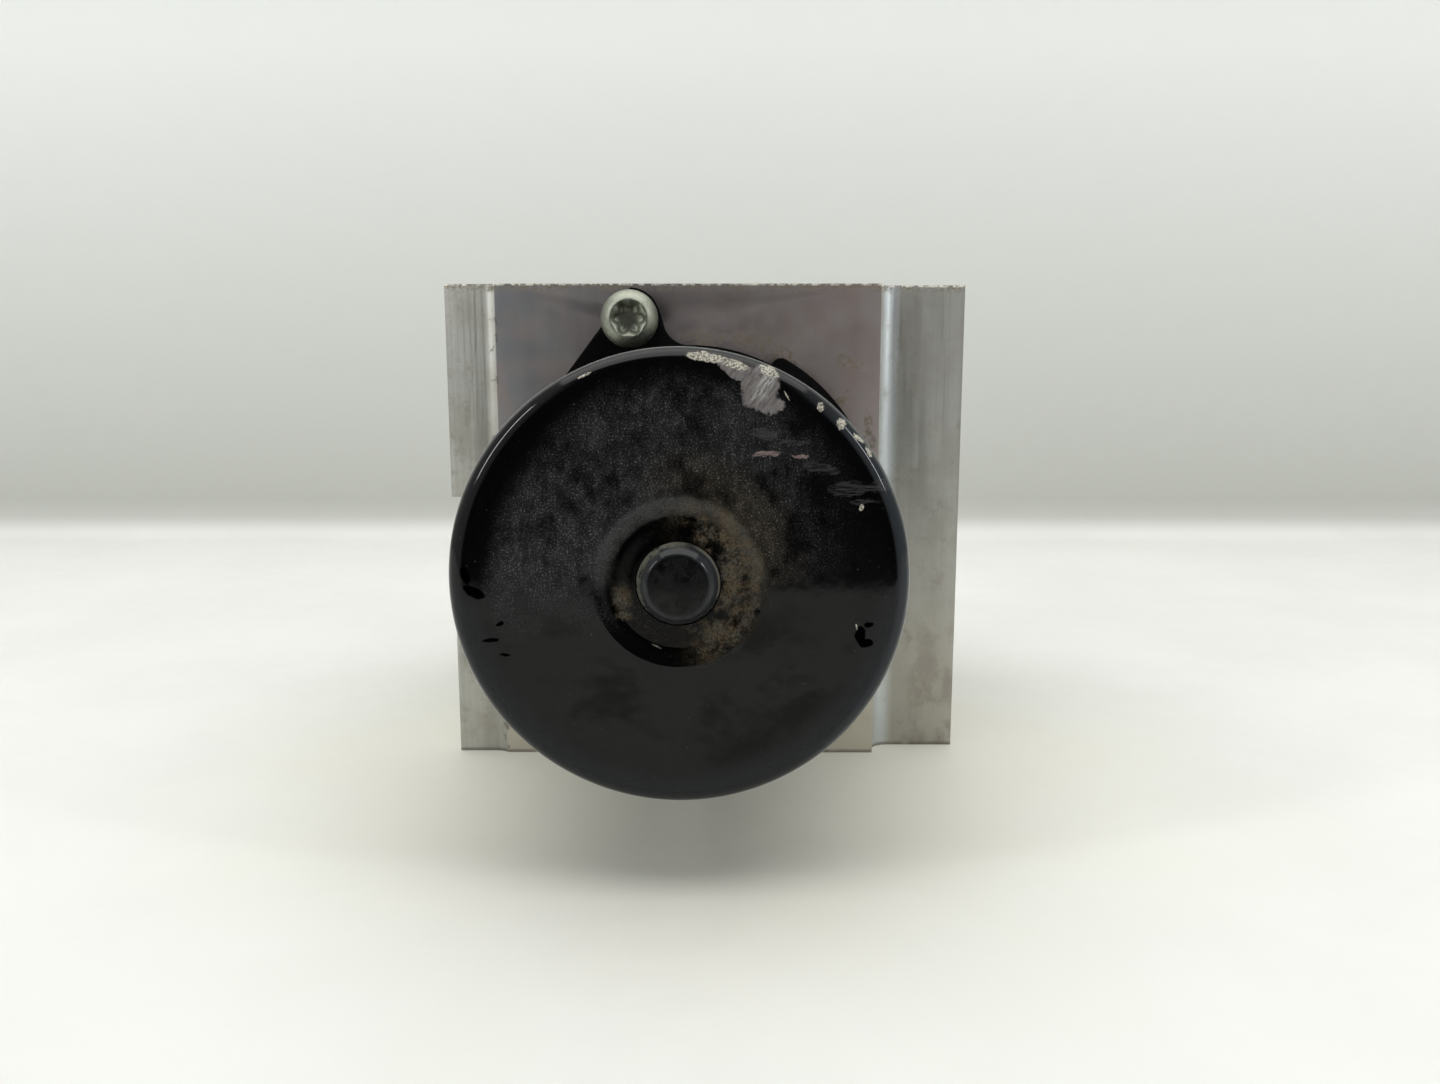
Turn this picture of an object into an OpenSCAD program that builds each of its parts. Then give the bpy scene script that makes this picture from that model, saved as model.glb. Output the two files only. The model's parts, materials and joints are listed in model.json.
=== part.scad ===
// Hydraulic modulator of an anti-lock brake system, in millimetres.
// An extruded aluminium valve block stands on its base at Z = 0. The pump motor is bolted to its
// front face and points to -Y, and the electronics sit behind it with their connector towards +Y.

/* [Valve block] */
// Width of the block, left to right
block_w = 120; // [118:1:126]
// Height of the block
block_h = 111; // [110:1:114]
// Thickness of the block, front to back
block_t = 50; // [50:1:54]
// Width of the left strip, from the side to the raised front face
left_strip_w = 11.7; // [10:0.1:13]
// Depth of the left strip below the raised front face
left_step = 1.2; // [0.8:0.1:2]
// Width of the right strip, from the side to the raised front face
right_strip_w = 20.2; // [18:0.1:22]
// Depth of the right strip below the raised front face
right_step = 5.8; // [5:0.1:7]
// Height of the notch milled in the left side
notch_h = 28; // [20:1:30]

/* [Motor] */
// Offset of the motor axis from the middle of the block
axis_x = -3.6; // [-4:0.1:-3]
// Height of the motor axis above the base
axis_z = 56.5; // [56:0.1:58]
// Outer radius of the motor can
can_r = 39; // [39:0.1:39.5]
// Distance from the block's raised face to the end face of the can
can_len = 76; // [76:0.5:80]
// Wall thickness of the can
can_wall = 2; // [1.8:0.1:2.2]
// Radius of the bearing boss on the end of the can
boss_r = 7; // [6.9:0.1:7.5]
// Radius of the mounting flange
flange_r = 43.3; // [43:0.1:44]
// Thickness of the mounting flange
flange_t = 2.5; // [2:0.1:2.5]
// Distance of the flange screws from the motor axis
ear_reach = 48.5; // [48:0.1:49]
// Angle of the upper flange screw, from the right-hand side
ear_angle = 106.5; // [104:0.5:108]

/* [Pump] */
// Offset of the eccentric from the motor axis, half the pistons' stroke
eccentric = 1; // [0.5:0.1:1.1]
// Radius of the pump pistons
piston_r = 4; // [3.5:0.1:4]
// Radius of the accumulator pistons
accumulator_r = 10; // [8:0.5:10]

/* [Electronics] */
// Depth of the electronics housing behind the block
ecu_depth = 30; // [30:0.5:34]
// Thickness of the rear cover
cover_t = 3.5; // [3:0.5:4]
// Length of the connector collar behind the cover
collar_len = 14; // [14:1:18]
// Number of pins in each row of the connector
pins_per_row = 12; // [8:1:13]

/* [Hidden] */
$fn = 64;
eps = 0.5;                 // how far a cut runs past the face that it opens
fit_gap = 0.05;            // radial gap of sliding and pressed fits
boss_h = 3;                // height of the boss above the can's end face
total_y = boss_h + can_len + block_t + ecu_depth + cover_t + collar_len;
face_y = boss_h + can_len - total_y / 2;   // raised front face of the block
rear_y = face_y + block_t;
left_edge_x = -block_w / 2 + left_strip_w;
right_edge_x = block_w / 2 - right_strip_w;
left_fillet = 4.35;
right_fillet = 4.3;
left_band = sqrt(2 * left_fillet * left_step - left_step * left_step);
notch_top = axis_z + 5.6;
notch_depth = 2.6;
notch_reach = 13;          // how far the notch runs back from the front

pilot_r = 17;              // centring ring behind the flange
pilot_h = 7;
seal_r = 18.2;
seal_wire = 0.8;
chamber_r = 14;            // chamber in which the eccentric turns
chamber_depth = 24.5;
terminal_drop = 26;        // motor terminals, below the axis
guide_r = 4.4;
terminal_gap = 4;
terminal_r = 0.9;
screw_r = 3;
tapped_r = 2.5;            // core radius of an M6 thread
ear_r = 7;
ear_lean = 36.1;           // turn of the ear's straight edge from the radial direction
neck_fillet = 6;
cut_r = 40.7;              // flange radius where it is cut back beside each ear
cut_end = 60;              // where the cut-back stretch ends
cut_round = 2.2;
blend_gap = 0.03;          // how far blending arcs and edges cross, where they would only touch
head_r = 6.5;
head_h = 4;

pump_depth = 15;           // pump axis, behind the raised face
sleeve_r = 7.5;
sleeve_in = chamber_r + 0.2;
sleeve_out = 43.8;
plug_r = 9.15;
plug_in = 44.2;
plug_recess = 3.4;
ring_r = 11;               // outside of the eccentric's ring
piston_gap = 0.12;         // tip clearance from the ring's furthest reach
piston_in = ring_r + eccentric + piston_gap;
piston_out = 32.4;
pump_spring_end = 40.9;

accumulator_x = 27;        // either side of the motor axis
accumulator_y = face_y + 28;
accumulator_top = 32;
piston_top = 31;
piston_low = 21;
cap_r = 11.45;
cap_low = 0.5;
cap_top = 3.8;

valve_pitch = 28;
valve_xs = [for (i = [0:3]) (i - 1.5) * valve_pitch];
inlet_z = 86;
outlet_z = 64;
valve_r = 6.45;
valve_depth = 24;
dome_r = 3.8;
dome_len = 19;
plunger_r = 2.5;
plunger_low = -8;          // plunger's ends, from the rear face of the block
plunger_high = 16.5;
seat_gap = 0.5;

wheel_port_y = face_y + 34;
wheel_port_r = 4.6;
wheel_port_depth = 13;
master_port_x = 28;
master_port_y = face_y + 14;
master_port_r = 5.5;
master_port_depth = 14;
gallery_r = 1.6;
gallery_y = face_y + 27;
gallery_plug_r = 2.6;
bracket_x = 48;
bracket_z = 42;

shaft_r = 4;
tail_r = 2.5;              // shaft radius in the rear bush
eccentric_r = 6.5;
bush_r = 5;                // outside of the rear bush
boss_round = 2;
boss_sunk = 3.6;           // how far the boss starts below the can's end face
bearing_z = -2.5;          // middle of the front ball bearing
bearing_w = 7;
bearing_r = 11;
ball_track = 7.5;
ball_r = 1.9;
balls = 7;
core_low = 24;
core_high = 54;
core_r = 29.7;
slots = 12;
commutator_r = 11;
commutator_low = 7.5;
commutator_high = 17;
brush_out = 20;
brush_low = 8;
brush_high = 15;
brush_w = 6;

ecu_w = 116;
ecu_h = 106;
ecu_z = 55.5;
ecu_wall = 2.4;
ecu_screw_x = 53.5;
ecu_screw_zs = [12, 98];
coil_r = 10;
coil_low = 3.2;
coil_high = 22;
board_low = 24;
board_t = 1.6;
collar_w = 66;
collar_h = 24;
collar_z = 66;
collar_wall = 2.2;
carrier_w = 58;
carrier_h = 14;
pin_pitch = 4;
pin_row_gap = 6;
pin_side = 0.8;
pin_tip = 8;               // how far the pins stand out behind the cover

// ---- Places: each turns its children so that their +Z runs along the feature ----

// +Z runs forwards out of the block's raised face, along the motor axis
module at_motor() translate([axis_x, face_y, axis_z]) rotate([90, 0, 0]) children();

// +Z runs outwards from the motor axis along a pump bore, to the left (-1) or the right (1)
module along_pump(side)
    translate([axis_x, face_y + pump_depth, axis_z]) rotate([0, 90 * side, 0]) children();

// +Z runs backwards out of the block's rear face
module behind_block(x, z) translate([x, rear_y, z]) rotate([-90, 0, 0]) children();

// +Z runs down into the block from its top face
module into_top(x, y) translate([x, y, block_h]) rotate([180, 0, 0]) children();

// +Z runs into the block from its left (-1) or right (1) side
module into_side(side, y, z)
    translate([side * block_w / 2, y, z]) rotate([0, -90 * side, 0]) children();

// ---- Shared shapes ----

// A hole or disc from one height to another
module drum(r, low, high) translate([0, 0, low]) cylinder(r = r, h = high - low);

// A tube from one height to another
module tube(r_out, r_in, low, high) difference() {
    drum(r_out, low, high);
    drum(r_in, low - eps, high + eps);
}

module rounded_rect(w, h, r) {
    square([w - 2 * r, h], center = true);
    square([w, h - 2 * r], center = true);
    for (x = [-1, 1], y = [-1, 1]) translate([x * (w / 2 - r), y * (h / 2 - r)]) circle(r);
}

// A coil spring with flat-cut ends, as a tube swept along a helix
module coil_spring(r, wire, turns, low, high) {
    steps = 14;
    sides = 6;
    rings = turns * steps;
    rise = high - low - 2 * wire;
    function ring_point(i, k) =
        let (turn = 360 * i / steps, around = 360 * k / sides, reach = r + wire * cos(around))
        [reach * cos(turn), reach * sin(turn), low + wire + rise * i / rings + wire * sin(around)];
    points = [for (i = [0:rings], k = [0:sides - 1]) ring_point(i, k)];
    walls = [for (i = [0:rings - 1], k = [0:sides - 1])
        let (a = i * sides + k, b = i * sides + (k + 1) % sides)
        each [[a, b, b + sides], [a, b + sides, a + sides]]];
    first = [[for (k = [sides - 1:-1:0]) k]];
    last = [[for (k = [0:sides - 1]) rings * sides + k]];
    polyhedron(points, concat(walls, first, last), convexity = 10);
}

// ---- Valve block ----

module block_profile() difference() {
    translate([-block_w / 2, face_y]) square([block_w, block_t]);
    translate([-block_w / 2 - eps, face_y - eps])
        square([left_strip_w - left_band + eps, left_step + eps]);
    translate([left_edge_x - left_band, face_y + left_step - left_fillet]) circle(left_fillet);
    translate([right_edge_x, face_y - eps])
        square([right_strip_w + eps, right_step - right_fillet + eps]);
    translate([right_edge_x + right_fillet, face_y - eps])
        square([right_strip_w, right_step + eps]);
    translate([right_edge_x + right_fillet, face_y + right_step - right_fillet])
        circle(right_fillet);
}

module motor_bores() {
    drum(pilot_r + 0.1, -pilot_h - 0.1, eps);
    drum(seal_r + 2 * seal_wire, -2 * seal_wire, eps);
    drum(chamber_r, -chamber_depth, eps);
    translate([0, -terminal_drop]) drum(guide_r + 0.2, -block_t - eps, eps);
    for (turn = [0, 180]) rotate(ear_angle + turn) translate([ear_reach, 0])
        drum(tapped_r, -18, eps);
}

module pump_bores() for (side = [-1, 1]) along_pump(side) {
    drum(sleeve_r + fit_gap, 0, plug_in - 0.1);
    drum(plug_r + fit_gap, plug_in - 0.1, block_w);
}

module valve_bores() for (x = valve_xs, z = [inlet_z, outlet_z]) behind_block(x, z) {
    drum(valve_r + fit_gap, -valve_depth, eps);
    drum(valve_r + 1.5, -3, eps);
}

module accumulator_bores() for (side = [-1, 1])
    translate([axis_x + side * accumulator_x, accumulator_y]) {
        drum(accumulator_r + fit_gap, 0, accumulator_top);
        drum(cap_r + fit_gap, -eps, cap_top + 0.1);
        drum(gallery_r, 0, outlet_z);
    }

module tapped_port(r, depth) {
    drum(r, 0, depth);
    translate([0, 0, -0.01]) cylinder(r1 = r + 1, r2 = r, h = 1);
    translate([0, 0, depth - 0.01]) cylinder(r1 = r, r2 = gallery_r, h = 2);
}

module port_bores() {
    for (x = valve_xs) into_top(x, wheel_port_y) {
        tapped_port(wheel_port_r, wheel_port_depth);
        drum(gallery_r, 0, block_h - outlet_z);
    }
    for (side = [-1, 1]) into_top(side * master_port_x, master_port_y) {
        tapped_port(master_port_r, master_port_depth);
        drum(gallery_r, 0, block_h - axis_z - sleeve_r);
    }
}

// Each cross gallery is drilled from outside and closed by a pressed plug
module at_gallery_mouths() {
    into_side(-1, gallery_y, inlet_z) children();
    into_side(1, gallery_y, outlet_z) children();
    for (side = [-1, 1]) behind_block(side * master_port_x, inlet_z) rotate([180, 0, 0]) children();
}

module galleries() {
    into_side(-1, gallery_y, inlet_z) drum(gallery_r, 0, block_w / 2 + valve_xs[3]);
    into_side(1, gallery_y, outlet_z) drum(gallery_r, 0, block_w / 2 + valve_xs[3]);
    for (side = [-1, 1]) behind_block(side * master_port_x, inlet_z)
        drum(gallery_r, master_port_y - rear_y, 0);
    at_gallery_mouths() drum(gallery_plug_r + fit_gap, -eps, 6);
}

module fastener_holes() {
    for (side = [-1, 1], z = ecu_screw_zs) behind_block(side * ecu_screw_x, z) drum(2.1, -14, eps);
    for (side = [-1, 1]) translate([side * bracket_x, face_y + 25]) drum(tapped_r, -eps, 12);
    into_side(-1, face_y + 8, bracket_z) drum(tapped_r, 0, 14);
}

module side_notch() translate([-block_w / 2 - eps, face_y - eps, notch_top - notch_h])
    cube([notch_depth + eps, notch_reach + eps, notch_h]);

module valve_block() color("silver") difference() {
    linear_extrude(block_h) block_profile();
    at_motor() motor_bores();
    pump_bores();
    valve_bores();
    accumulator_bores();
    port_bores();
    galleries();
    fastener_holes();
    side_notch();
}

module gallery_plugs() color("gainsboro") at_gallery_mouths() drum(gallery_plug_r, 0.6, 5.5);

// ---- Pump ----

module pump_plugs() color("gray") for (side = [-1, 1]) along_pump(side) {
    reach = block_w / 2 - side * axis_x - plug_recess;
    difference() {
        drum(plug_r, plug_in, reach);
        drum(5, reach - 2, reach + eps);
        drum(3, plug_in - eps, plug_in + 4);
    }
}

module pump_cylinders() color("lightsteelblue") for (side = [-1, 1]) along_pump(side) difference() {
    drum(sleeve_r, sleeve_in, sleeve_out);
    drum(piston_r + fit_gap, sleeve_in - eps, 29);
    drum(5.6, 29, 41);
    drum(1.3, 41, sleeve_out + eps);
}

module pump_piston(side) color("silver") along_pump(side) {
    drum(piston_r, piston_in, piston_out - 2);
    drum(5.2, piston_out - 2, piston_out);
}

module pump_spring(side) color("dimgray") along_pump(side)
    coil_spring(4.3, 0.45, 4, piston_out + 0.05, pump_spring_end);

module eccentric_sleeve(r_out, r_in) at_motor() translate([0, eccentric]) tube(r_out, r_in, -20.5, -9.5);

module eccentric_ring() color("silver") eccentric_sleeve(ring_r, 8.45);

module eccentric_bush() color("darkgoldenrod") eccentric_sleeve(8.4, eccentric_r + fit_gap);

// ---- Accumulators ----

module at_accumulator(side) translate([axis_x + side * accumulator_x, accumulator_y]) children();

module accumulator_caps() color("gray") for (side = [-1, 1]) at_accumulator(side) difference() {
    drum(cap_r, cap_low, cap_top);
    drum(8, cap_low - eps, cap_low + 0.8);
    drum(1, 0, cap_top + eps);
}

module accumulator_piston(side) color("gainsboro") at_accumulator(side) difference() {
    drum(accumulator_r, piston_low, piston_top);
    drum(accumulator_r - 2.6, piston_low - eps, piston_top - 3);
    tube(accumulator_r + 1, accumulator_r - 1.4, piston_top - 6.4, piston_top - 4);
}

module accumulator_spring(side) color("dimgray") at_accumulator(side)
    coil_spring(5.8, 0.7, 6, cap_top + 0.05, piston_top - 3.05);

// ---- Solenoid valves ----

// Seated valve body in the block, with a thin dome that reaches back into its coil
module valve_body(x, z) behind_block(x, z) difference() {
    union() {
        drum(valve_r, -valve_depth + 0.5, -0.5);
        drum(valve_r + 1.4, -2.9, -0.5);
        drum(dome_r, -1, dome_len);
    }
    drum(plunger_r + fit_gap, plunger_low - seat_gap, plunger_high + seat_gap);
    drum(1, -valve_depth, plunger_low);
    tube(valve_r + eps, valve_r - 1, -17, -13);
}

module inlet_valves() color("silver") for (x = valve_xs) valve_body(x, inlet_z);

module outlet_valves() color("silver") for (x = valve_xs) valve_body(x, outlet_z);

module plunger(x, z) color("lightslategray") behind_block(x, z) difference() {
    drum(plunger_r, plunger_low, plunger_high);
    drum(1.2, plunger_high - 4, plunger_high + eps);
}

// ---- Motor shell ----

module can_profile() {
    edge = 3;
    dish_r = 9.4;
    dish_mid = 10.8;
    dish_depth = 0.8;
    inner_r = can_r - can_wall;
    inner_top = can_len - can_wall;
    difference() {
        union() {
            translate([0, flange_t]) square([can_r, can_len - edge - flange_t]);
            translate([0, flange_t]) square([can_r - edge, can_len - flange_t]);
            translate([can_r - edge, can_len - edge]) circle(edge);
        }
        translate([dish_mid, can_len - dish_depth + dish_r]) circle(dish_r);
        translate([-eps, flange_t - eps]) square([inner_r + eps, inner_top - flange_t - 1.5]);
        translate([-eps, flange_t - eps]) square([inner_r + eps - 2, inner_top - flange_t + eps]);
        translate([inner_r - 2, inner_top - 2]) circle(2);
    }
}

module boss_profile() difference() {
    union() {
        translate([0, can_len - boss_sunk]) square([boss_r, boss_sunk + boss_h - boss_round]);
        translate([0, can_len - boss_sunk]) square([boss_r - boss_round, boss_sunk + boss_h]);
        translate([boss_r - boss_round, can_len + boss_h - boss_round]) circle(boss_round);
    }
    translate([-eps, can_len - 6]) square([bush_r + fit_gap + eps, 7]);
}

module motor_can() color([0.05, 0.05, 0.06]) at_motor() rotate_extrude() union() {
    difference() {
        intersection() {
            can_profile();
            square([2 * can_r, 2 * can_len]);
        }
        square([bush_r + fit_gap, 2 * can_len]);
    }
    intersection() {
        boss_profile();
        square([2 * can_r, 2 * can_len]);
    }
}

// One ear, pointing along +Y, with a straight left edge and a filleted right one
module ear_outline() {
    fillet_x = ear_r + neck_fillet;
    fillet_y = sqrt(pow(cut_r + neck_fillet, 2) - fillet_x * fillet_x);
    meet = cut_r / (cut_r + neck_fillet);
    difference() {
        union() {
            translate([0, ear_reach]) circle(ear_r);
            polygon([[0, 0], [-flange_r * sin(ear_lean), flange_r * cos(ear_lean)],
                [-ear_r, ear_reach + ear_r], [0, ear_reach + 2], [ear_r, ear_reach], [ear_r, 0]]);
        }
        rotate(ear_lean) translate([-2 * ear_reach, flange_r - blend_gap])
            square([4 * ear_reach, ear_reach]);
    }
    difference() {
        polygon([[0, 0], [ear_r, fillet_y], [fillet_x, fillet_y], meet * [fillet_x, fillet_y]]);
        translate([fillet_x, fillet_y]) circle(neck_fillet + blend_gap);
    }
}

module flange_outline() {
    far = 2 * flange_r;
    circle(cut_r);
    difference() {
        circle(flange_r);
        for (turn = [0, 180]) rotate(turn) polygon([[0, 0], far * [cos(cut_end), sin(cut_end)],
            far * [cos(ear_angle + 10), sin(ear_angle + 10)]]);
    }
    for (turn = [0, 180]) {
        rotate(cut_end + turn) translate([flange_r - cut_round - blend_gap, 0]) circle(cut_round);
        rotate(ear_angle - 90 + turn) ear_outline();
    }
}

module motor_flange() color([0.06, 0.06, 0.07]) at_motor() difference() {
    union() {
        linear_extrude(flange_t) flange_outline();
        drum(pilot_r, -pilot_h, 1);
    }
    drum(bearing_r + 0.02, bearing_z - bearing_w / 2, flange_t + eps);
    drum(9, -pilot_h - eps, 0);
    translate([0, -terminal_drop]) drum(guide_r + 0.2, -eps, flange_t + eps);
    for (turn = [0, 180]) rotate(ear_angle + turn) translate([ear_reach, 0])
        drum(screw_r + 0.3, -eps, flange_t + eps);
}

module motor_seal() color([0.1, 0.1, 0.1]) at_motor() rotate_extrude()
    translate([seal_r, -seal_wire]) circle(seal_wire - 0.02);

module lobed_recess(r) {
    circle(r);
    for (i = [0:5]) rotate(60 * i) translate([r, 0]) circle(r / 3);
}

module motor_screws() color([0.72, 0.72, 0.66]) at_motor() for (turn = [0, 180])
    rotate(ear_angle + turn) translate([ear_reach, 0, flange_t]) difference() {
        union() {
            drum(tapped_r - fit_gap, -19, 0.1);
            rotate_extrude() intersection() {
                square([head_r, head_h]);
                translate([0, -head_h]) circle(2 * head_h);
            }
            drum(head_r, 0, 1.2);
        }
        translate([0, 0, head_h - 2.4]) linear_extrude(3) lobed_recess(2.2);
    }

// ---- Motor inside ----

module magnets() color([0.25, 0.25, 0.27]) at_motor() for (i = [0:3]) rotate(90 * i + 7)
    rotate_extrude(angle = 76) translate([core_r + 0.9, 19]) square([can_r - can_wall - core_r - 1, 42]);

module magnet_clips() color("darkgray") at_motor() for (i = [0:3]) rotate(90 * i - 6.4) {
    rotate_extrude(angle = 12.8) translate([can_r - can_wall - 0.9, 20]) square([0.8, 40]);
    for (turn = [0, 11.4]) rotate(turn)
        rotate_extrude(angle = 1.4) translate([core_r + 2, 20]) square([4.5, 40]);
}

module brush_place(side) rotate(side > 0 ? 0 : 180) children();

module brush_plate() color([0.5, 0.36, 0.2]) at_motor() difference() {
    union() {
        tube(can_r - can_wall - 0.4, 13.5, 3, 5.6);
        for (side = [-1, 1]) brush_place(side)
            translate([13.5, -brush_w / 2 - 1.2, 5]) cube([15.5, brush_w + 2.4, brush_high - 5 + 1.2]);
    }
    for (side = [-1, 1]) brush_place(side) translate([12, -brush_w / 2 - 0.15, brush_low - 0.15])
        cube([16, brush_w + 0.3, brush_high - brush_low + 0.3]);
    for (x = [-1, 1]) translate([x * terminal_gap / 2, -terminal_drop]) drum(terminal_r + 0.1, 0, 10);
}

module brush(side) color([0.12, 0.12, 0.12]) at_motor() brush_place(side) difference() {
    translate([commutator_r - 1, -brush_w / 2, brush_low])
        cube([brush_out - commutator_r + 1, brush_w, brush_high - brush_low]);
    drum(commutator_r + 0.12, 0, 20);
}

module brush_spring(side) color("dimgray") at_motor() brush_place(side)
    translate([0, 0, (brush_low + brush_high) / 2]) rotate([0, 90, 0])
        coil_spring(2.2, 0.35, 5, brush_out + 0.05, 27.9);

module rear_bush() color("goldenrod") at_motor()
    tube(bush_r, tail_r + fit_gap, can_len - 5.4, can_len + 0.8);

module terminal_pins() color("goldenrod") at_motor() for (x = [-1, 1])
    translate([x * terminal_gap / 2, -terminal_drop])
        drum(terminal_r, -block_t - board_low - board_t - 1, 6.5);

module terminal_guide() color([0.15, 0.15, 0.15]) at_motor() translate([0, -terminal_drop]) difference() {
    drum(guide_r, -block_t - 2, 2.9);
    for (x = [-1, 1]) translate([x * terminal_gap / 2, 0])
        drum(terminal_r + fit_gap, -block_t - 3, 4);
}

// ---- Armature ----

module shaft() color("silver") at_motor() {
    drum(shaft_r, -21.5, 70);
    drum(tail_r, 69, can_len + 0.2);
    translate([0, eccentric]) drum(eccentric_r, -21, -9);
}

module each_slot() for (i = [0:slots - 1]) rotate(360 * i / slots) children();

module armature_core() color([0.4, 0.4, 0.42]) at_motor() translate([0, 0, core_low])
    linear_extrude(core_high - core_low) difference() {
        circle(core_r);
        circle(shaft_r + fit_gap / 2);
        each_slot() {
            translate([14, -2.7]) square([13.5, 5.4]);
            translate([26, -1]) square([5, 2]);
        }
    }

module armature_windings() color([0.72, 0.4, 0.2]) at_motor() {
    each_slot() translate([14.8, -2.1, core_low - 1]) cube([11.4, 4.2, core_high - core_low + 2]);
    for (low = [core_low - 5.8, core_high + 0.2]) rotate_extrude() translate([18.7, low + 2.8])
        rounded_rect(15, 5.6, 2.3);
}

module commutator_bars() color([0.75, 0.45, 0.25]) at_motor() each_slot()
    rotate_extrude(angle = 360 / slots - 3) {
        translate([7.5, commutator_low]) square([commutator_r - 7.5, commutator_high - commutator_low]);
        translate([7.5, 15.8]) square([5, 1.2]);
    }

module commutator_hub() color([0.35, 0.2, 0.12]) at_motor()
    tube(7.45, shaft_r + fit_gap / 2, commutator_low - 0.5, commutator_high + 0.4);

// ---- Bearing ----

module ball_groove() translate([ball_track, bearing_z]) circle(ball_r + 0.07);

module bearing_ring(r_in, r_out) at_motor() rotate_extrude() difference() {
    translate([r_in, bearing_z - bearing_w / 2]) square([r_out - r_in, bearing_w]);
    ball_groove();
}

module bearing_outer_ring() color("silver") bearing_ring(8.8, bearing_r);

module bearing_inner_ring() color("silver") bearing_ring(shaft_r + fit_gap / 2, 6.2);

module each_ball() at_motor() for (i = [0:balls - 1]) rotate(360 * i / balls)
    translate([ball_track, 0, bearing_z]) children();

module bearing_balls() color("gainsboro") each_ball() sphere(ball_r);

module bearing_cage() color("darkkhaki") difference() {
    at_motor() tube(7.95, 7.05, bearing_z - 2.9, bearing_z + 2.9);
    each_ball() rotate([0, 90, 0]) drum(ball_r + fit_gap, -2, 2);
}

// ---- Electronics ----

module coil_windings() color([0.7, 0.38, 0.18]) for (x = valve_xs, z = [inlet_z, outlet_z])
    behind_block(x, z) tube(coil_r - 1.4, 5.5, coil_low + 2.6, coil_high - 2.6);

module coil_bobbins() color([0.12, 0.2, 0.16]) for (x = valve_xs, z = [inlet_z, outlet_z])
    behind_block(x, z) difference() {
        union() {
            drum(5.4, coil_low + 1.4, coil_high - 1.4);
            drum(coil_r - 1.4, coil_low + 1.4, coil_low + 2.5);
            drum(coil_r - 1.4, coil_high - 2.5, coil_high - 1.4);
        }
        drum(dome_r + 0.5, 0, coil_high + eps);
    }

module coil_yokes() color("gray") for (x = valve_xs, z = [inlet_z, outlet_z])
    behind_block(x, z) difference() {
        drum(coil_r, coil_low, coil_high);
        drum(coil_r - 1.3, coil_low + 1.3, coil_high - 1.3);
        drum(dome_r + 0.5, 0, coil_high + eps);
    }

module ecu_outline(shrink) rounded_rect(ecu_w - 2 * shrink, ecu_h - 2 * shrink, 7 - shrink);

module behind_ecu_middle() behind_block(0, ecu_z) children();

module ecu_screw_places() for (side = [-1, 1], z = ecu_screw_zs)
    behind_block(side * ecu_screw_x, z) children();

module ecu_gasket() color([0.55, 0.16, 0.1]) behind_ecu_middle() linear_extrude(1.2) difference() {
    ecu_outline(0.9);
    ecu_outline(1.9);
}

module ecu_housing() color([0.08, 0.08, 0.09]) difference() {
    union() {
        behind_ecu_middle() difference() {
            linear_extrude(ecu_depth) ecu_outline(0);
            translate([0, 0, ecu_wall]) linear_extrude(ecu_depth) ecu_outline(ecu_wall);
        }
        intersection() {
            behind_ecu_middle() linear_extrude(ecu_depth) ecu_outline(0);
            ecu_screw_places() drum(5, 0, ecu_depth);
        }
    }
    behind_ecu_middle() translate([0, 0, -0.1]) linear_extrude(1.4) difference() {
        ecu_outline(0.8);
        ecu_outline(2);
    }
    ecu_screw_places() drum(2.4, -eps, ecu_depth + eps);
    for (x = valve_xs, z = [inlet_z, outlet_z]) behind_block(x, z) drum(dome_r + 0.4, -eps, ecu_wall + eps);
    behind_block(axis_x, axis_z - terminal_drop) drum(guide_r + 0.3, -eps, ecu_wall + eps);
}

module ecu_cover() color([0.1, 0.1, 0.11]) difference() {
    behind_ecu_middle() translate([0, 0, ecu_depth]) linear_extrude(cover_t) ecu_outline(0);
    behind_block(0, collar_z) translate([0, 0, ecu_depth - eps]) linear_extrude(cover_t + 2 * eps)
        square([carrier_w + 0.1, carrier_h + 0.1], center = true);
    ecu_screw_places() drum(2.7, ecu_depth - eps, ecu_depth + cover_t + eps);
}

module connector_collar() color([0.1, 0.1, 0.11])
    behind_block(0, collar_z) translate([0, 0, ecu_depth + cover_t]) difference() {
        linear_extrude(collar_len) rounded_rect(collar_w, collar_h, 4);
        translate([0, 0, -eps]) linear_extrude(collar_len + 2 * eps)
            rounded_rect(collar_w - 2 * collar_wall, collar_h - 2 * collar_wall, 4 - collar_wall / 2);
    }

module each_pin() for (i = [0:pins_per_row - 1], row = [-1, 1]) behind_block(0, collar_z)
    translate([(i - (pins_per_row - 1) / 2) * pin_pitch, row * pin_row_gap / 2]) children();

module pin_bars(side, low, high) each_pin() translate([0, 0, (low + high) / 2])
    cube([side, side, high - low], center = true);

module pin_carrier() color([0.2, 0.2, 0.22]) difference() {
    behind_block(0, collar_z) translate([0, 0, ecu_depth - 1.5]) linear_extrude(cover_t + 1.5)
        square([carrier_w, carrier_h], center = true);
    pin_bars(pin_side + 0.1, ecu_depth - 3, ecu_depth + cover_t + 1);
}

module connector_pins() color("gold")
    pin_bars(pin_side, board_low + board_t + 0.1, ecu_depth + cover_t + pin_tip);

module ecu_screws() color([0.75, 0.73, 0.6]) ecu_screw_places() difference() {
    union() {
        drum(2, -13, ecu_depth + cover_t + 1);
        drum(4.4, ecu_depth + cover_t, ecu_depth + cover_t + 3.2);
    }
    translate([0, 0, ecu_depth + cover_t + 1.2]) linear_extrude(3) lobed_recess(1.4);
}

module circuit_board() color([0.05, 0.3, 0.15]) difference() {
    behind_ecu_middle() translate([0, 0, board_low]) linear_extrude(board_t) rounded_rect(96, 96, 3);
    for (x = [-1, 1]) behind_block(axis_x + x * terminal_gap / 2, axis_z - terminal_drop)
        drum(terminal_r + 0.1, board_low - eps, board_low + board_t + eps);
}

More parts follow.
